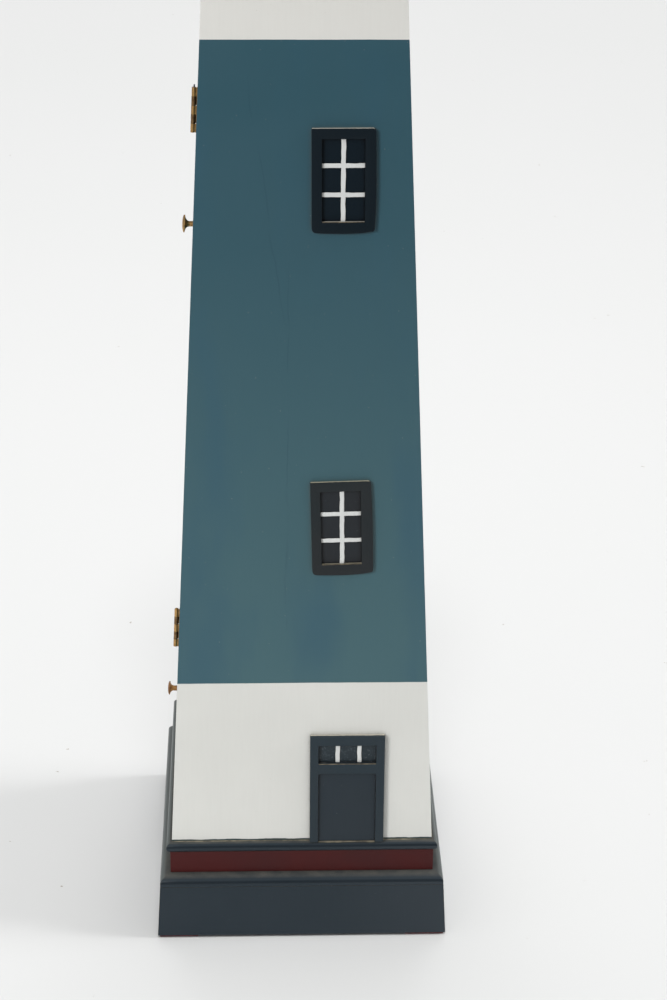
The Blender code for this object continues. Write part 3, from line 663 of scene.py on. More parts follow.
@dataclass(frozen=True)
class BareWood(Finish):
    """Clear-sealed softwood and plywood."""

    name: str
    pale: Colour = tint(206, 172, 124)
    deep: Colour = tint(170, 128, 80)
    fibre: Colour = tint(140, 102, 62)
    dirt: Colour = tint(74, 52, 32)
    dust: Colour = tint(186, 176, 158)
    roughness: float = 0.55
    upright: bool = False

    def timber(self, graph: Graph) -> tuple[Socket, Socket]:
        """Give the wood's colour and the height of its grain.

        Args:
            graph: Where the nodes go.

        Returns:
            The colour and the height.
        """
        spot = graph.spot
        if self.upright:
            across, back, height = graph.parts()
            spot = graph.put("CombineXYZ", {0: across, 1: height, 2: back}).outputs[0]
        rings, fibres = graph.use(softwood_grain, Spot=spot).values()
        colour = graph.blend(graph.product(rings, 0.55), self.pale, self.deep)
        strong = graph.product(graph.ease(fibres, 0.5, 0.75), 0.45)
        return graph.blend(strong, colour, self.fibre), fibres

    def wire(self, graph: Graph, shader: Inputs) -> None:
        """Lay the grain, with grime in the joints and dust on top.

        Args:
            graph: Where the nodes go.
            shader: The shader's sockets.
        """
        colour, fibres = self.timber(graph)
        colour = graph.blend(graph.mask(joint_grime_and_shade, Amount=0.5), colour, self.dirt)
        colour = graph.blend(graph.mask(settled_dust, Amount=0.15), colour, self.dust)
        dull = graph.scaled(fibres, 0.2, self.roughness - 0.1)
        self.surface(graph, shader, colour, dull, fibres, (0.25, 0.12 * MM))


@dataclass(frozen=True)
class AgedMetal(Finish):
    """Lacquered brass or plated steel that has gone dull in patches."""

    name: str
    bright: Colour
    dull: Colour
    dirt: Colour
    roughness: float = 0.30
    tarnish: float = 0.6

    def wire(self, graph: Graph, shader: Inputs) -> None:
        """Lay tarnish and dirt over the bright metal, with rubbed edges.

        Args:
            graph: Where the nodes go.
            shader: The shader's sockets.
        """
        patches = graph.ease(graph.noise(260.0, 4.0), 0.36, 0.66)
        fine = graph.noise(1800.0, 3.0)
        grime = graph.mask(joint_grime_and_shade, Reach=1.6 * MM, Amount=0.95)
        worn = graph.mask(worn_edges, Reach=0.25 * MM, Patch_Scale=400.0, Amount=0.75)
        colour = graph.blend(graph.product(patches, self.tarnish), self.bright, self.dull)
        colour = graph.blend(grime, colour, self.dirt)
        colour = graph.blend(graph.product(worn, 0.5), colour, self.bright)
        rough = graph.scaled(grime, 0.3, graph.scaled(patches, 0.18, self.roughness))
        rough = graph.scaled(fine, 0.1, rough, clamp=True)
        shader["Metallic"].default_value = 1.0
        self.surface(graph, shader, colour, rough, fine, (0.1, 0.05 * MM))


@dataclass(frozen=True)
class Felt(Finish):
    """Pressed dark red felt."""

    name: str
    colour: Colour = tint(70, 30, 34)
    fluff: Colour = tint(104, 58, 58)

    def wire(self, graph: Graph, shader: Inputs) -> None:
        """Lay tangled fibres over the red.

        Args:
            graph: Where the nodes go.
            shader: The shader's sockets.
        """
        tangle, clumps = graph.noise(2200.0, 5.0), graph.noise(240.0, 3.0)
        share = graph.ease(graph.product(tangle, clumps), 0.18, 0.38)
        colour = graph.blend(share, self.colour, self.fluff)
        dull = graph.scaled(clumps, 0.1, 0.88)
        self.surface(graph, shader, colour, dull, tangle, (0.6, 0.2 * MM))


@dataclass(frozen=True)
class MouldedPlastic(Finish):
    """Black plastic with a fine moulded texture."""

    name: str
    colour: Colour = tint(30, 30, 32)
    dust: Colour = tint(120, 115, 108)

    def wire(self, graph: Graph, shader: Inputs) -> None:
        """Lay the fine texture and a little dust.

        Args:
            graph: Where the nodes go.
            shader: The shader's sockets.
        """
        pits = graph.noise(2600.0)
        colour = graph.blend(graph.mask(settled_dust, Amount=0.35), self.colour, self.dust)
        self.surface(graph, shader, colour, graph.scaled(pits, 0.2, 0.36), pits, (0.2, 0.1 * MM))


@dataclass(frozen=True)
class ClearPane(Finish):
    """Thin clear glazing with faint smears."""

    name: str
    colour: Colour = (0.93, 0.97, 0.97, 1.0)
    bending: float = 1.45

    def wire(self, graph: Graph, shader: Inputs) -> None:
        """Set the glass, and smear it a little.

        Args:
            graph: Where the nodes go.
            shader: The shader's sockets.
        """
        shader["Base Color"].default_value = self.colour
        shader["Transmission Weight"].default_value = 1.0
        shader["IOR"].default_value = self.bending
        smears = graph.ease(graph.noise(60.0, 4.0), 0.4, 0.75)
        graph.feed(shader["Roughness"], graph.scaled(smears, 0.12, 0.02))


@dataclass(frozen=True)
class PaperSweep(Finish):
    """The pale matt studio floor."""

    name: str
    colour: Colour = tint(214, 214, 214)
    cloud: Colour = tint(212, 213, 212)
    crumb: Colour = tint(150, 140, 128)
    roughness: float = 0.9

    def wire(self, graph: Graph, shader: Inputs) -> None:
        """Lay a pale sheet with a few crumbs.

        Args:
            graph: Where the nodes go.
            shader: The shader's sockets.
        """
        tone = graph.blend(graph.noise(1.5), self.colour, self.cloud)
        crumbs = graph.product(graph.mask(scattered_specks, Scale=90.0, Share=0.01),
                               graph.ease(graph.noise(300.0), 0.55, 0.6))
        graph.feed(shader["Base Color"], graph.blend(crumbs, tone, self.crumb))
        shader["Roughness"].default_value = self.roughness


def ledged(name: str, colour: Colour, clouds: Colour, **others: object) -> Paint:
    """Paint of thin trim, with an even cover of dust near the front of its ledges."""
    shared = {"under": OLD_CREAM, "wear": 0.08, "dust": 1.0, "dust_cover": 0.9}
    return Paint(name, colour, clouds, **{**shared, **others})


def shaded(name: str, colour: Colour, clouds: Colour, **others: object) -> Paint:
    """Paint of a mock pane, with painted shade where its frame shades it."""
    return Paint(name, colour, clouds, wear=0.0, dust=0.2, grime=1.0, **others)


OLD_CREAM = tint(176, 160, 128)
PRIMER = tint(128, 118, 100)
# Slate paint: painted dark reflections on the fronts of its rounded noses, dust and painted
# highlights on their sides, and a painted reflection that lightens it to the right.
SLATE = Paint("slate_brushed", tint(33, 44, 52), tint(29, 41, 49), roughness=0.36, wear=0.13,
              dust=0.56, dust_colour=tint(108, 105, 96), speck_colour=tint(84, 100, 110),
              specks=0.02, shine=0.28, nose_shade_amount=0.95, right_sheen=tint(41, 50, 57), under=PRIMER, grime=0.3)
SLATE_TRIM = ledged("slate_trim", tint(42, 53, 60), tint(45, 54, 60), roughness=0.45, wear=0.12,
                    dust_reach=2.3 * MM, under=PRIMER, dust_colour=tint(208, 203, 186), shine=0.15)
MAROON = Paint("maroon_brushed", tint(61, 20, 21), tint(68, 20, 20), cloud_scale=16.0,
               wear=0.12, dust=0.4, under=tint(150, 120, 96), speck_colour=tint(92, 50, 48),
               shine=0.2)
# Off-white paint: its tan grime is partly real dirt and partly painted shade, where glazing bars
# meet their frames.
WHITE = Paint("off_white_brushed", tint(216, 218, 216), tint(212, 214, 213), roughness=0.45,
              wear=0.10, dust=0.25, grime=0.75, under=OLD_CREAM, speck_colour=tint(168, 166, 158),
              grime_colour=tint(104, 92, 72))
NIGHT = ledged("window_night", tint(14, 25, 31), tint(16, 26, 33), roughness=0.45,
               dust_reach=2.3 * MM, dust_colour=tint(204, 199, 186), shine=0.12)
# Mock pane: its near-black grime is painted shade along the frame's inner edges.
NIGHT_PANE = shaded("pane_night", tint(17, 28, 36), tint(15, 26, 34), roughness=0.35, specks=0.01,
                    shine=0.12, grime_reach=6.0 * MM, grime_colour=tint(7, 7, 8))
COAL = ledged("window_coal", tint(31, 38, 41), tint(37, 40, 42), roughness=0.5,
              dust_reach=2.2 * MM, dust_colour=tint(168, 162, 142), shine=0.2)
# Mock pane: its dark grime is painted shade along the frame's inner edges.
COAL_PANE = shaded("pane_coal", tint(36, 41, 46), tint(38, 40, 43), roughness=0.4, specks=0.02,
                   shine=0.2, grime_reach=5.0 * MM, grime_colour=tint(16, 12, 10))
# Mock pane: its dark grime is painted shade along the frame's inner edges.
TRANSOM_PANE = shaded("pane_transom", tint(37, 47, 53), tint(44, 54, 60), specks=1.0,
                      speck_scale=900.0, speck_colour=tint(172, 182, 192), shine=0.25,
                      grime_reach=5.0 * MM, grime_colour=tint(16, 14, 13))
# Entry panel: its dark grime is painted shade in the recess around it.
PANEL = Paint("entry_panel", tint(34, 45, 53), tint(38, 47, 54), roughness=0.45, wear=0.05,
              dust=0.8, grime=1.0, grime_reach=6.0 * MM, grime_colour=tint(20, 19, 20),
              dust_colour=tint(172, 158, 128), shine=0.25)
CREAM_LINE = Paint("dirty_cream", tint(134, 127, 107), tint(82, 79, 70), roughness=0.7, wear=0.0,
                   dust=0.3, cloud_scale=120.0, specks=0.1, speck_colour=tint(70, 64, 52))
SILL_LINE = Paint("worn_sill_line", tint(144, 132, 108), tint(84, 73, 58), roughness=0.65, wear=0.0,
                  dust=0.2, cloud_scale=170.0, grime=0.3)
WOOD = BareWood("softwood")
PLY = BareWood("shelf_ply", pale=tint(214, 184, 140), deep=tint(190, 150, 102))
# Tower bands: their tan grime is partly real dirt and partly painted shade, beside the trims and in
# the joints.
TOWER = TowerPaint("tower_bands", tint(217, 217, 212), tint(214, 214, 209), roughness=0.40,
                   strokes=0.02, wear=0.06, wear_reach=0.4 * MM, dust=0.3, specks=0.006,
                   under=tint(188, 172, 142), speck_colour=tint(176, 172, 160),
                   grime_colour=tint(96, 82, 62), wood=BareWood("tower_softwood", upright=True))
BRASS = AgedMetal("aged_brass", tint(206, 166, 108), tint(150, 112, 70), tint(52, 36, 26))
# A darker, browner copy of the brass, for the door leaves of the hinges.
BROWN_BRASS = AgedMetal("darker_brass", tint(150, 120, 84), tint(98, 72, 50), tint(34, 24, 18),
                        roughness=0.36, tarnish=0.9)
KNOB_BRASS = AgedMetal("knob_brass", tint(178, 134, 86), tint(116, 80, 54), tint(44, 30, 22),
                       roughness=0.28, tarnish=0.8)
STEEL = AgedMetal("dull_steel", tint(176, 176, 178), tint(128, 127, 126), tint(52, 48, 44))
FELT = Felt("pad_felt")
PLASTIC = MouldedPlastic("catch_plastic")
GLAZING = ClearPane("lantern_glazing")
CRACKS = (
    {"Foot": 0.60, "Top": 0.86, "Foot_Across": -0.012, "Top_Across": -0.050},
    {"Foot": 0.36, "Top": 0.70, "Foot_Across": -0.014, "Top_Across": -0.012},
    {"Foot": 0.30, "Top": 0.48, "Foot_Across": -0.016, "Top_Across": -0.014},
)


# ---- shapes ----
SAME_POINT = 1e-7
SIDE_WANDER = 0.12 * MM
SIDE_WAVES = 14.0
SLOPING_EDGE = 38.0
BULLNOSE_STEPS = 10
WELD_REACH = 0.01 * MM
EASE_SEGMENTS = 3
EASE_ANGLE = math.radians(32.0)
FACE_WEIGHT = 60


def finished(bm: bmesh.types.BMesh, mesh: bpy.types.Mesh, place: Matrix,
             sharp: float) -> bpy.types.Mesh:
    """Turn worked geometry into a smooth-shaded mesh.

    Args:
        bm: The geometry, which is freed.
        mesh: The mesh that takes it.
        place: Where it goes; its vertices are moved there.
        sharp: Angle in degrees from which an edge stays crisp.

    Returns:
        The mesh, in the cabinet's frame.
    """
    bm.to_mesh(mesh)
    bm.free()
    mesh.polygons.foreach_set("use_smooth", [True] * len(mesh.polygons))
    mesh.set_sharp_from_angle(angle=math.radians(sharp))
    mesh.transform(place)
    return mesh


def placed(name: str, data: bpy.types.ID) -> bpy.types.Object:
    """Put new data into the scene as an object.

    Args:
        name: The object's name.
        data: Its mesh, lamp or camera.

    Returns:
        The object.
    """
    new = bpy.data.objects.new(name, data)
    bpy.context.scene.collection.objects.link(new)
    return new


class Shape:
    """Collects the rings and faces of one mesh."""

    def __init__(self) -> None:
        """Start with nothing."""
        self.points: list[Vector] = []
        self.faces: list[tuple[int, ...]] = []

    def ring(self, points: Sequence[Vector]) -> list[int]:
        """Add points and give their numbers.

        Args:
            points: The points, in order around the ring.

        Returns:
            Their numbers.
        """
        first = len(self.points)
        self.points.extend(points)
        return list(range(first, len(self.points)))

    def skin(self, rings: Sequence[list[int]], *lids: int) -> None:
        """Join each closed ring to the next.

        Args:
            rings: Rings with the same count of points.
            *lids: Which of them are closed with a face.
        """
        for lower, upper in zip(rings, rings[1:]):
            for i, here in enumerate(lower):
                j = (i + 1) % len(lower)
                self.faces.append((here, lower[j], upper[j], upper[i]))
        self.faces.extend(tuple(rings[number]) for number in lids)

    def mesh(self, name: str, place: Matrix | None = None) -> bpy.types.Mesh:
        """Make the mesh.

        Args:
            name: Its name.
            place: Where it goes; its vertices are moved there.

        Returns:
            A smooth-shaded mesh in the cabinet's frame.
        """
        mesh = bpy.data.meshes.new(name)
        mesh.from_pydata([tuple(point) for point in self.points], [], self.faces)
        bm = bmesh.new()
        bm.from_mesh(mesh)
        bmesh.ops.remove_doubles(bm, verts=bm.verts, dist=SAME_POINT)
        bmesh.ops.recalc_face_normals(bm, faces=bm.faces)
        return finished(bm, mesh, place or Matrix(), SLOPING_EDGE)


def sway(point: Vector, scale: float, size: float) -> float:
    """A small steady wander for a point, up to size either way."""
    return field_noise(point * scale) * size


def arc(middle: Point, radius: float, start: float, end: float, steps: int = 8) -> list[Point]:
    """Points of an arc between two angles in degrees."""
    angles = [math.radians(start + (end - start) * i / steps) for i in range(steps + 1)]
    return [(middle[0] + radius * math.cos(a), middle[1] + radius * math.sin(a)) for a in angles]


def rounded_ring(half: Point, radii: tuple[float, float, float, float], steps: int = 5,
                 parts: int = 12) -> list[Point]:
    """Outline of a rectangle whose four corners have their own radii.

    Args:
        half: Half width and half height.
        radii: Corner radii from the upper right, counted anticlockwise.
        steps: Steps in each corner.
        parts: Parts of each straight side.

    Returns:
        Points of the outline, in the same order and count for any size.
    """
    signs = ((1, 1), (-1, 1), (-1, -1), (1, -1))
    corners = []
    for number, ((x, y), radius) in enumerate(zip(signs, radii)):
        middle = (x * (half[0] - radius), y * (half[1] - radius))
        corners.append(arc(middle, radius, 90.0 * number, 90.0 * number + 90.0, steps))
    points: list[Point] = []
    for number, corner in enumerate(corners):
        start, end = corner[-1], corners[(number + 1) % 4][0]
        points.extend(corner)
        points.extend((start[0] + (end[0] - start[0]) * i / parts,
                       start[1] + (end[1] - start[1]) * i / parts) for i in range(1, parts))
    return points


def bullnose(node: str, radius: float, steps: int = BULLNOSE_STEPS,
             step: float = 0.0) -> list[Point]:
    """Profile of a board's edge, rounded above and below, from its top down.

    Args:
        node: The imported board, whose box gives the size.
        radius: Radius of both roundings.
        steps: Steps in each of them.
        step: Height above the board's foot at which the profile ends.

    Returns:
        Half widths and heights.
    """
    low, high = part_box(node)
    across = high.x - radius
    return [*arc((across, high.z - radius), radius, 90.0, 0.0, steps),
            *arc((across, low.z + step + radius), radius, 0.0, -90.0, steps)]


def square_moulding(name: str, profile: Sequence[Point], corner: float) -> bpy.types.Mesh:
    """A square board whose four sides follow one profile.

    Args:
        name: The mesh's name.
        profile: Half widths and heights, from one flat side to the other.
        corner: Radius of the upright corners.

    Returns:
        The closed mesh.
    """
    shape = Shape()
    rings = []
    for half, height in profile:
        points = []
        for x, y in rounded_ring((half, half), (corner,) * 4, 3, 16):
            grown = 1.0 + sway(Vector((x, y, height)), SIDE_WAVES, SIDE_WANDER) / half
            points.append(Vector((x * grown, y * grown, height)))
        rings.append(shape.ring(points))
    shape.skin(rings, 0, -1)
    return shape.mesh(name)


# ---- sub-assemblies ----
class SubAssembly:
    """What every group of pieces shares."""

    def dress(self, finish: Finish, *nodes: str, ease: float = 0.0) -> None:
        """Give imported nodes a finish, and soften their edges.

        Args:
            finish: Their finish.
            *nodes: Their names.
            ease: Width of the softened edges; 0 leaves them as they are.
        """
        for node in nodes:
            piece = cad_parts[node]
            piece.data.materials.clear()
            piece.data.materials.append(finish.material())
            if ease > 0.0:
                weld = piece.modifiers.new("weld", "WELD")
                weld.merge_threshold = WELD_REACH
                bevel = piece.modifiers.new("eased_edges", "BEVEL")
                bevel.width, bevel.segments = ease, EASE_SEGMENTS
                bevel.limit_method, bevel.angle_limit = "ANGLE", EASE_ANGLE
                piece.modifiers.new("even_faces", "WEIGHTED_NORMAL").weight = FACE_WEIGHT
            log.info("dressed %s in %s", node, finish.name)

    def add(self, mesh: bpy.types.Mesh, finish: Finish, slot: Slot, body: Body = Body.ROOT,
            stands_for: Sequence[str] = ()) -> None:
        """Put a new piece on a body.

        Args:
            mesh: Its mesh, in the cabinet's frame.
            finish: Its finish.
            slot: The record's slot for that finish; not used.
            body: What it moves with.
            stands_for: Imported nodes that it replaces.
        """
        piece = placed(mesh.name, mesh)
        mesh.materials.append(finish.material())
        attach(piece, body.value)
        if stands_for:
            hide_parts(*stands_for)
        log.info("made %s with %d faces", piece.name, len(mesh.polygons))

    def moulding(self, name: str, profile: Sequence[Point], corner: float, node: str) -> None:
        """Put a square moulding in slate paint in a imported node's place."""
        self.add(square_moulding(name, profile, corner), SLATE, Slot.SLATE, stands_for=[node])

    def uneven_strip(self, name: str, finish: Finish, corners: Sequence[Vector], size: float,
               flatness: float, place: Matrix | None = None) -> None:
        """An uneven strip along a level path, on its right-hand side: old filler, a worn sill edge
        or a painted shadow line.

        Args:
            name: The piece's name.
            finish: Its finish.
            corners: The path.
            size: How wide it is.
            flatness: Its height as a share of its width.
            place: Where it goes.
        """
        shape = Shape()
        rings = []
        for start, end in zip(corners, corners[1:]):
            run = end - start
            outward = Vector((run.y, -run.x, 0.0)).normalized()
            count = max(8, int(run.length / (3.0 * MM)))
            for i in range(count + 1):
                spot = start + run * (i / count)
                width = size * (1.0 + sway(spot, 60.0, 0.6) + sway(spot, 300.0, 0.3))
                reach = max(width, 0.25 * size)
                rise = Vector((0.0, 0.0, flatness * reach))
                rings.append(shape.ring([
                    spot - outward * 0.4 * size, spot + outward * reach,
                    spot + outward * 0.75 * reach + 0.5 * rise,
                    spot + outward * 0.3 * reach + 0.9 * rise,
                    spot - outward * 0.4 * size + rise,
                ]))
        shape.skin(rings, 0, -1)
        self.add(shape.mesh(name, place), finish, Slot.SLATE)


@dataclass
class Base(SubAssembly):
    """Pads, battered plinth, round-nosed step, riser and rounded cap board."""

    cap_round: float = 5.2 * MM
    cap_corner: float = 0.8 * MM
    step_round: float = 7.5 * MM
    step_corner: float = 1.2 * MM
    step_inset: float = 2.0 * MM
    board_ease: float = 0.3 * MM
    pad_ease: float = 0.6 * MM
    filler_width: float = 0.75 * MM

    def cap_board(self) -> None:
        """The bullnosed board that the tower stands on."""
        profile = bullnose("base_cap_board", self.cap_round)
        self.moulding("cap_board", profile, self.cap_corner, "base_cap_board")

    def step_board(self) -> None:
        """The board on the plinth, rounded from the riser down to its straight edge."""
        low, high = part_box("plinth_top_board")
        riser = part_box("riser_board")[1].x
        run, fine = high.x - riser, 0.1 * MM
        curve = [(riser + run * x, high.z + self.step_round * (y - 1.0))
                 for x, y in arc((0.0, 0.0), 1.0, 90.0, 0.0, 18)]
        profile = [(riser - self.step_inset, high.z), *curve, (high.x, low.z + fine),
                   (high.x - fine, low.z)]
        self.moulding("step_board", profile, self.step_corner, "plinth_top_board")

    def build(self) -> None:
        """Make and dress the base."""
        pads = [f"foot_pad_{y}_{x}" for y in ("front", "back") for x in ("left", "right")]
        self.dress(FELT, *pads, ease=self.pad_ease)
        self.dress(SLATE, "plinth_front", "plinth_back", "plinth_left", "plinth_right",
                   ease=self.board_ease)
        self.dress(MAROON, "riser_board", ease=self.board_ease)
        self.cap_board()
        self.step_board()
        half = tower_half(CAP_TOP) + 0.05 * MM
        walls = [Vector((x * half, y * half, CAP_TOP))
                 for x, y in ((-1, -1), (1, -1), (1, 1), (-1, 1))]
        self.uneven_strip("foot_filler", CREAM_LINE, walls, self.filler_width, 0.8)


@dataclass
class Tower(SubAssembly):
    """The fixed boards of the tower and what is inside it."""

    edge_ease: float = 0.45 * MM
    inner_ease: float = 0.4 * MM
    catch_ease: float = 0.7 * MM

    def build(self) -> None:
        """Dress the tower."""
        self.dress(TOWER, "front_panel", "back_panel", "right_panel", "left_upper_panel",
                   ease=self.edge_ease)
        self.dress(PLY, "drawer_divider", "door_lintel", "shelf_1", "shelf_2", "shelf_3",
                   "tower_top_board", ease=self.inner_ease)
        self.dress(WOOD, "drawer_runner_front", "drawer_runner_back", ease=self.inner_ease)
        self.dress(PLASTIC, "magnet_catch", ease=self.catch_ease)


@dataclass
class Door(SubAssembly):
    """The tall cupboard door with its knob, plate and hinges."""

    edge_ease: float = 0.5 * MM
    plate_ease: float = 0.2 * MM
    leaf_ease: float = 0.25 * MM
    screw_radius: float = 1.7 * MM
    screw_proud: float = 0.09 * MM
    screw_sink: float = 0.15 * MM
    screw_slot: float = 0.28 * MM
    screw_inward: float = 6.6 * MM
    screw_places: tuple[float, ...] = (-13.5 * MM, 0.0, 13.5 * MM)

    def screw_heads(self, place: str) -> None:
        """Slotted countersunk heads in both leaves of one hinge.

        Args:
            place: Which hinge: upper or lower.
        """
        low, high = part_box(f"{place}_hinge_pin")
        along = Vector((TAPER, TAPER, 1.0)).normalized()
        across = Vector((0.0, 1.0, -TAPER)).normalized()
        inward = across.cross(along).normalized()
        middle = (low + high) / 2.0
        middle.z = sum(corner.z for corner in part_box(f"{place}_hinge_door_leaf")) / 2.0
        rows = Matrix((inward, across, along)).transposed().to_4x4()
        for leaf, side, body in (("frame", 1.0, Body.ROOT), ("door", -1.0, Body.DOOR)):
            shape = Shape()
            for up in self.screw_places:
                seat = Vector((self.screw_inward, -side * self.screw_sink, up))
                self.slotted_head(shape, seat, side)
            mesh = shape.mesh(f"{place}_{leaf}_leaf_screws", Matrix.Translation(middle) @ rows)
            self.add(mesh, BRASS, Slot.BRASS, body)

    def slotted_head(self, shape: Shape, middle: Vector, side: float) -> None:
        """One flat head with a slot, that faces along Y.

        Args:
            shape: The shape that it joins.
            middle: Where the middle of its face goes.
            side: Which way it faces along Y.
        """
        radius, slot = self.screw_radius, self.screw_slot
        for half in (-1.0, 1.0):
            outline = [(0.985 * radius * x, half * (slot + (radius - slot) * z))
                       for x, z in arc((0.0, 0.0), 1.0, 0.0, 180.0, 12)]
            outer = [middle + Vector((x, 0.0, z)) for x, z in outline]
            inner = [middle + Vector((0.9 * x, side * self.screw_proud,
                                      0.93 * z + 0.02 * MM * half)) for x, z in outline]
            shape.skin([shape.ring(outer), shape.ring(inner)], 1, 0)

    def build(self) -> None:
        """Dress the door and its hinges."""
        self.dress(TOWER, "cabinet_door", ease=self.edge_ease)
        self.dress(BRASS, "door_knob")
        self.dress(STEEL, "door_knob_screw")
        self.dress(STEEL, "strike_plate", ease=self.plate_ease)
        for place in ("upper", "lower"):
            self.dress(BRASS, f"{place}_hinge_frame_leaf", ease=self.leaf_ease)
            self.dress(BROWN_BRASS, f"{place}_hinge_door_leaf", ease=self.leaf_ease)
            self.dress(STEEL if place == "upper" else BRASS, f"{place}_hinge_pin")
            self.screw_heads(place)


@dataclass
class Drawer(SubAssembly):
    """The drawer behind the lower white band."""

    front_ease: float = 0.5 * MM
    side_ease: float = 0.4 * MM
    bottom_ease: float = 0.2 * MM

    def build(self) -> None:
        """Dress the drawer."""
        self.dress(TOWER, "drawer_front", ease=self.front_ease)
        self.dress(WOOD, "drawer_side_front", "drawer_side_back", "drawer_back",
                   ease=self.side_ease)
        self.dress(PLY, "drawer_bottom", ease=self.bottom_ease)
        self.dress(KNOB_BRASS, "drawer_knob")
        self.dress(STEEL, "drawer_knob_screw")


@dataclass
class Trim(SubAssembly):
    """Shared shapes of the mock windows and the entry door."""

    proud: float = 5.5 * MM
    seat: float = 0.3 * MM
    bar_width: float = 3.9 * MM
    bar_depth: float = 0.5 * MM
    pane_gap: float = 1.3 * MM
    bar_step: float = 1.2 * MM
    bar_ease: float = 0.2 * MM
    bar_drift: float = 0.18 * MM
    bar_wander: float = 0.28 * MM

    def bar(self, shape: Shape, start: Point, end: Point, face: float, phase: float) -> None:
        """A hand-painted glazing bar between two points of the pane.

        Args:
            shape: The shape that it joins.
            start: Across and up.
            end: Across and up.
            face: How far its back stands before the wall.
            phase: Shifts its unevenness.
        """
        run = Vector((end[0] - start[0], 0.0, end[1] - start[1]))
        side = Vector((run.z, 0.0, -run.x)).normalized()
        rings = []
        parts = max(8, int(run.length / self.bar_step))
        deep, ease = self.bar_depth, self.bar_ease
        for i in range(parts + 1):
            spot = Vector((start[0], 0.0, start[1])) + run * (i / parts)
            seed = spot + Vector((phase, 0.37 * phase, 0.0))
            drift = sway(seed, 90.0, self.bar_drift)
            left, right = (self.bar_width / 2.0
                           + sway(seed + Vector((0, shift, 0)), 170.0, self.bar_wander)
                           for shift in (1, 2))
            section = [(-left, 0.0), (-left, deep - ease), (-left + ease, deep),
                       (right - ease, deep), (right, deep - ease), (right, 0.0)]
            rings.append(shape.ring([spot + side * (across + drift)
                                     + Vector((0.0, -(face + out), 0.0))
                                     for across, out in section]))
        shape.skin(rings, 0, -1)

    def sill_line(self, name: str, place: Matrix, half_width: float, height: float) -> None:
        """The worn front edge of a sill.

        Args:
            name: The piece's name.
            place: The trim's placement.
            half_width: Half of the opening's width.
            height: How high the sill is above the placement's middle.
        """
        front = -(self.seat + self.proud - 0.75 * MM)
        path = [Vector((x, front, height - 0.05 * MM)) for x in (-half_width, half_width)]
        self.uneven_strip(name, SILL_LINE, path, 0.55 * MM, 0.45, place)

    def ring_frame(self, shape: Shape, outer: Callable[[float], list[Point]],
                   inner: Callable[[float], list[Point]], ease: float) -> None:
        """A flat frame with rounded outer and inner edges.

        Args:
            shape: The shape that it joins.
            outer: Outline of the outside, drawn in by a distance.
            inner: Outline of the opening, widened by a distance.
            ease: Radius of the outer edges; the opening's are a third of it.
        """
        fine = ease / 3.0
        rings = [(outer(0.0), 0.0)]
        for inset, rise in arc((ease, self.proud - ease), ease, 180.0, 90.0, 5):
            rings.append((outer(inset), rise))
        for inset, rise in arc((fine, self.proud - fine), fine, 90.0, 180.0, 3):
            rings.append((inner(inset), rise))
        rings.append((inner(0.0), 0.0))
        numbers = [shape.ring([Vector((x, -(self.seat + rise), z)) for x, z in points])
                   for points, rise in rings]
        shape.skin([*numbers, numbers[0]])


@dataclass
class MockWindow(Trim):
    """A mock window: a soft-edged frame, a dark pane and white glazing bars."""

    label: str = "upper"
    frame_finish: Paint = NIGHT
    pane_finish: Paint = NIGHT_PANE
    height: float = 0.0
    across: float = 0.0
    turn: float = 0.0
    half: Point = (26.5 * MM, 44.5 * MM)
    rail: float = 8.5 * MM
    radii: tuple[float, float, float, float] = (2.6 * MM, 0.7 * MM, 3.4 * MM, 1.4 * MM)
    ease: float = 0.7 * MM
    soft_side: float = 2.4
    bulge: float = 1.0 * MM
    lean: float = 1.2 * MM
    drop: float = 0.6 * MM
    upright: Point = (-0.15 * MM, 0.2 * MM)
    levels: Point = (-12.6 * MM, 12.6 * MM)

    def outline(self, inset: float) -> list[Point]:
        """Hand-shaped outside, with a bowed foot and a soft, bulging right side.

        Args:
            inset: How far it is drawn in.

        Returns:
            Points of the outline.
        """
        half = (self.half[0] - inset, self.half[1] - inset)
        radii = tuple(max(radius - inset, 0.15 * MM) for radius in self.radii)
        points = []
        for x, z in rounded_ring(half, radii):
            share, rise = x / self.half[0], z / self.half[1]
            right, low = max(0.0, share) ** 3, max(0.0, -rise)
            bow = self.drop + 0.9 * MM * (1.0 - share * share) - 1.3 * MM * right
            swell = self.bulge * (1.0 - 0.6 * max(0.0, rise)) - self.lean * low ** 2
            points.append((x + right * (swell - self.soft_side * inset), z - bow * low ** 3))
        return points

    def opening(self, widen: float) -> list[Point]:
        """The opening, with nearly square corners."""
        half = (self.half[0] - self.rail + widen, self.half[1] - self.rail + widen)
        return rounded_ring(half, (0.35 * MM + widen,) * 4)

    def build(self) -> None:
        """Make the frame and bars, and dress the pane."""
        place = on_front(self.across, self.height, self.turn)
        shape = Shape()
        self.ring_frame(shape, self.outline, self.opening, self.ease)
        self.add(shape.mesh(f"{self.label}_window_trim", place), self.frame_finish, Slot.WINDOW,
                 stands_for=[f"{self.label}_window_frame"])
        bars = Shape()
        reach = self.half[0] - self.rail - 0.1 * MM
        rise = self.half[1] - self.rail - 0.1 * MM
        face = self.seat + self.pane_gap
        foot, top = self.upright
        self.bar(bars, (foot, -rise), (top, rise), face + 0.04 * MM, self.height)
        for level in self.levels:
            self.bar(bars, (-reach, level), (reach, level), face, self.height + level / MM)
        self.add(bars.mesh(f"{self.label}_glazing_bars", place), WHITE, Slot.WHITE,
                 stands_for=[f"{self.label}_window_bars"])
        self.sill_line(f"{self.label}_sill_line", place, reach, self.rail - self.half[1])
        self.dress(self.pane_finish, f"{self.label}_window_pane")


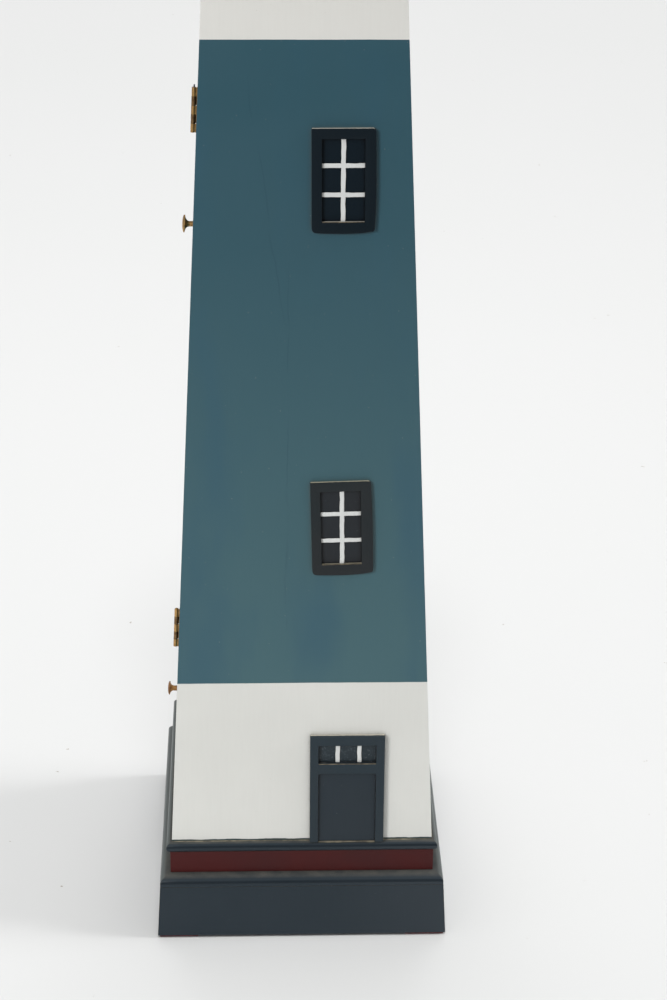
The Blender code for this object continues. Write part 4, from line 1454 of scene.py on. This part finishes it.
@dataclass
class EntryDoor(Trim):
    """The mock entry door with a transom light."""

    across: float = 42.0 * MM
    half_width: float = 34.8 * MM
    stile: float = 7.8 * MM
    head: float = 9.6 * MM
    light: float = 19.8 * MM
    middle_rail: float = 10.5 * MM
    tall: float = 115.0 * MM
    lift: float = 0.8 * MM
    bars: tuple[float, float] = (-9.0 * MM, 11.2 * MM)
    ease: float = 0.5 * MM
    corner: float = 2.0 * MM

    def surround(self, place: Matrix) -> bpy.types.Mesh:
        """The boards' outline, with the transom opening and the doorway cut out.

        Args:
            place: Where it goes.

        Returns:
            The mesh.
        """
        bm = bmesh.new()
        clear = self.half_width - self.stile
        light_top = self.lift + self.tall - self.head
        light_foot = light_top - self.light
        door_top = light_foot - self.middle_rail
        columns = [-self.half_width, -clear, clear, self.half_width]
        levels = [self.lift, door_top, light_foot, light_top, self.lift + self.tall]
        solid = {(c, r) for c in range(3) for r in range(4)} - {(1, 0), (1, 2)}
        corners = {}
        for c, x in enumerate(columns):
            for r, z in enumerate(levels):
                corners[c, r] = bm.verts.new((x, -self.seat, z))
        cells = [bm.faces.new([corners[c, r], corners[c + 1, r], corners[c + 1, r + 1],
                               corners[c, r + 1]]) for c, r in sorted(solid)]
        grown = bmesh.ops.extrude_face_region(bm, geom=cells)
        moved = [part for part in grown["geom"] if isinstance(part, bmesh.types.BMVert)]
        bmesh.ops.translate(bm, vec=(0.0, -self.proud, 0.0), verts=moved)
        bmesh.ops.recalc_face_normals(bm, faces=bm.faces)
        deep = [edge for edge in bm.edges
                if abs(edge.verts[0].co.y - edge.verts[1].co.y) > 1.0 * MM
                and abs(abs(edge.verts[0].co.x) - clear) < 0.1 * MM
                and abs(edge.verts[0].co.z - door_top) < 0.1 * MM]
        rounding = {"affect": "EDGES", "profile": 0.5, "clamp_overlap": True}
        bmesh.ops.bevel(bm, geom=deep, offset=self.corner, segments=4, **rounding)
        crisp = [edge for edge in bm.edges
                 if len(edge.link_faces) == 2 and edge.calc_face_angle() > 0.5]
        bmesh.ops.bevel(bm, geom=crisp, offset=self.ease, segments=3, **rounding)
        return finished(bm, bpy.data.meshes.new("entry_trim"), place, 30.0)

    def build(self) -> None:
        """Make the surround, bars, threshold, sill line and a painted shadow line, and dress the
        panel and the light.
        """
        place = on_front(self.across, CAP_TOP)
        self.add(self.surround(place), SLATE_TRIM, Slot.SLATE, stands_for=["entry_surround"])
        light_top = self.lift + self.tall - self.head - 0.2 * MM
        light_foot = light_top - self.light + 0.2 * MM
        clear = self.half_width - self.stile
        for side, across in zip(("left", "right"), self.bars):
            shape = Shape()
            self.bar(shape, (across, light_foot + 0.2 * MM), (across, light_top),
                     self.seat + self.pane_gap, 7.0 * across / MM)
            self.add(shape.mesh(f"transom_{side}_bar", place), WHITE, Slot.WHITE,
                     stands_for=[f"transom_bar_{side}"])
        low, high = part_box("entry_door_panel")
        foot = [Vector((x, low.y - 0.02 * MM, CAP_TOP)) for x in (low.x, high.x)]
        self.uneven_strip("threshold_filler", CREAM_LINE, foot, 1.5 * MM, 0.35)
        # A dark strip at the foot of the transom pane: painted shadow on the rear of the ledge.
        shadow_line_path = [Vector((x, -self.seat - 1.2 * MM, light_foot)) for x in (-clear, clear)]
        self.uneven_strip("transom_shadow_line", NIGHT_PANE, shadow_line_path, 1.0 * MM, 0.7, place)
        self.sill_line("transom_sill_line", place, clear, light_foot)
        self.dress(PANEL, "entry_door_panel")
        self.dress(TRANSOM_PANE, "transom_pane")


@dataclass
class Top(SubAssembly):
    """Gallery deck, railing, lantern and roof."""

    deck_round: float = 4.5 * MM
    under_step: float = 7.7 * MM
    overhang: float = 12.0 * MM
    deck_corner: float = 0.8 * MM
    cap_round: float = 3.0 * MM
    cap_corner: float = 0.6 * MM
    rail_ease: float = 0.4 * MM
    roof_ease: float = 0.5 * MM

    def deck(self) -> None:
        """The overhanging deck with its stepped moulding."""
        low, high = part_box("gallery_deck")
        step, inner = low.z + self.under_step, high.x - self.overhang
        profile = bullnose("gallery_deck", self.deck_round, step=self.under_step)
        profile += [(inner, step), (inner, step - 0.4 * MM), (inner - 0.4 * MM, low.z + 1.0 * MM),
                    (inner - 1.2 * MM, low.z)]
        self.moulding("deck_board", profile, self.deck_corner, "gallery_deck")

    def roof_cap(self) -> None:
        """The lantern's cap board, under the roof."""
        profile = bullnose("lantern_cap", self.cap_round, 8)
        self.moulding("cap_moulding", profile, self.cap_corner, "lantern_cap")

    def build(self) -> None:
        """Make and dress the top."""
        self.deck()
        self.roof_cap()
        self.dress(WHITE, "gallery_railing", "lantern_frame", ease=self.rail_ease)
        self.dress(MAROON, "lantern_base", "roof", ease=self.roof_ease)
        self.dress(GLAZING, "lantern_glass")
        self.dress(KNOB_BRASS, "finial")


# ---- studio ----
@dataclass(frozen=True)
class Lamp:
    """A square soft box, or one so large and far away that its light is even."""

    name: str
    lights: Lights
    toward: Spot
    strength: float
    width: float
    place: Spot | None = None

    def hang(self) -> None:
        """Put the lamp up, and link it to what it lights.

        A box with a place has its strength in watts and its width in metres. A far one's strength
        is how bright it makes a white surface that faces it, and its width is in degrees.
        """
        data = bpy.data.lights.new(self.name, "AREA" if self.place else "SUN")
        if self.place:
            data.size, data.energy = self.width, self.strength
        else:
            data.angle, data.energy = math.radians(self.width), self.strength * math.pi
        lamp = placed(self.name, data)
        turned = Vector(self.toward).to_track_quat("-Z", "Y").to_matrix().to_4x4()
        lamp.matrix_world = Matrix.Translation(self.place or (0.0, 0.0, 0.0)) @ turned
        lamp.visible_camera = self.place is None
        lit = bpy.data.collections.new(f"lit_by_{self.name}")
        lit.objects.link(bpy.data.objects["studio_floor"])
        lit.collection_objects[0].light_linking.link_state = self.lights.value
        lamp.light_linking.receiver_collection = lit


LAMPS = (
    Lamp("key_box", Lights.CABINET, (1.85, 2.35, -1.3), 60.0, 0.9, (-1.85, -2.35, 1.9)),
    Lamp("floor_pool", Lights.FLOOR, (0.0, 0.0, -2.4), 10.0, 0.5, (0.0, 0.5, 2.4)),
    Lamp("side_box", Lights.CABINET, (-1.0, 0.02, -0.62), 0.42, 14.0),
    Lamp("floor_side", Lights.FLOOR, (-1.0, 0.02, -0.62), 0.45, 16.0),
    Lamp("floor_box", Lights.FLOOR, (0.0, 0.4, -1.0), 0.44, 15.0),
)


@dataclass
class Studio:
    """Pale floor, soft lamps and the camera."""

    floor_radius: float = 3.0
    floor_middle: Point = (0.0, 0.9)
    sky: float = 0.62
    dim_sky: float = 0.22
    below: float = 0.06
    seen_sky: Colour = (0.84, 0.84, 0.84, 1.0)
    camera_place: Spot = (-0.0401, -1.9556, 1.4320)
    yaw: float = 0.03623
    pitch: float = 0.48439
    roll: float = 0.01119
    lens: float = 85.0
    sensor: float = 36.0
    seen_range: Point = (0.05, 60.0)

    def floor(self) -> None:
        """A wide round sheet."""
        shape = Shape()
        rings = []
        for share in (0.3, 0.6, 1.0):
            circle = arc(self.floor_middle, share * self.floor_radius, 0.0, 360.0, 96)[:-1]
            rings.append(shape.ring([Vector((*point, 0.0)) for point in circle]))
        shape.skin(rings, 0)
        floor = placed("studio_floor", shape.mesh("studio_floor"))
        floor.data.materials.append(PaperSweep("paper_sweep").material())

    def world(self) -> None:
        """A sky bright overhead and dim near the horizon, which looks as pale as the floor."""
        world = bpy.data.worlds.new("studio_sky")
        bpy.context.scene.world = world
        world.use_nodes = True
        graph = Graph(world.node_tree)
        sky = world.node_tree.nodes["Background"]
        seen = graph.put("Background", {"Color": self.seen_sky})
        height = graph.parts(graph.put("TexCoord").outputs["Generated"])[2]
        lit, high = graph.ease(height, -0.05, 0.02), graph.ease(height, 0.05, 0.55)
        strength = graph.scaled(lit, self.dim_sky - self.below, self.below)
        strength = graph.scaled(high, self.sky - self.dim_sky, strength)
        sky.inputs["Color"].default_value = (1.0, 1.0, 1.0, 1.0)
        graph.feed(sky.inputs["Strength"], strength)
        camera_ray = graph.put("LightPath").outputs["Is Camera Ray"]
        mixed = graph.put("MixShader", {0: camera_ray, 1: sky.outputs[0], 2: seen.outputs[0]})
        graph.feed(world.node_tree.nodes["World Output"].inputs[0], mixed.outputs[0])

    def camera(self) -> None:
        """The camera, a little above the cabinet's top and looking down at it."""
        level = math.cos(self.pitch)
        ahead = Vector((math.sin(self.yaw) * level, math.cos(self.yaw) * level,
                        -math.sin(self.pitch)))
        right = Vector((math.cos(self.yaw), -math.sin(self.yaw), 0.0))
        up = right.cross(ahead)
        c, s = math.cos(self.roll), math.sin(self.roll)
        axes = Matrix((c * right + s * up, c * up - s * right, -ahead)).transposed().to_4x4()
        data = bpy.data.cameras.new("view")
        data.lens, data.sensor_width = self.lens, self.sensor
        data.clip_start, data.clip_end = self.seen_range
        camera = placed("view", data)
        camera.matrix_world = Matrix.Translation(self.camera_place) @ axes
        bpy.context.scene.camera = camera

    def build(self) -> None:
        """Set up the studio."""
        self.camera()
        self.floor()
        self.world()
        for lamp in LAMPS:
            lamp.hang()
        bpy.context.scene.view_settings.view_transform = "Standard"
        log.info("studio is lit")


def main() -> None:
    """Build the cabinet's looks in order."""
    logging.basicConfig(level=logging.INFO, format="%(name)s: %(message)s")
    upper = MockWindow(label="upper", height=CAP_TOP + 0.6494, across=32.7 * MM, turn=-0.3,
                       proud=4.3 * MM)
    lower = MockWindow(label="lower", height=CAP_TOP + 0.3294, across=33.8 * MM, turn=-1.6,
                       frame_finish=COAL, pane_finish=COAL_PANE, proud=4.0 * MM, bulge=1.7 * MM,
                       lean=0.4 * MM, drop=1.3 * MM, upright=(0.35 * MM, 1.4 * MM),
                       levels=(-12.7 * MM, 13.2 * MM))
    for group in (Studio(), Base(), Tower(), Door(), Drawer(), upper, lower,
                  EntryDoor(proud=5.2 * MM), Top()):
        group.build()
    bpy.context.view_layer.update()


if __name__ == "__main__":
    main()
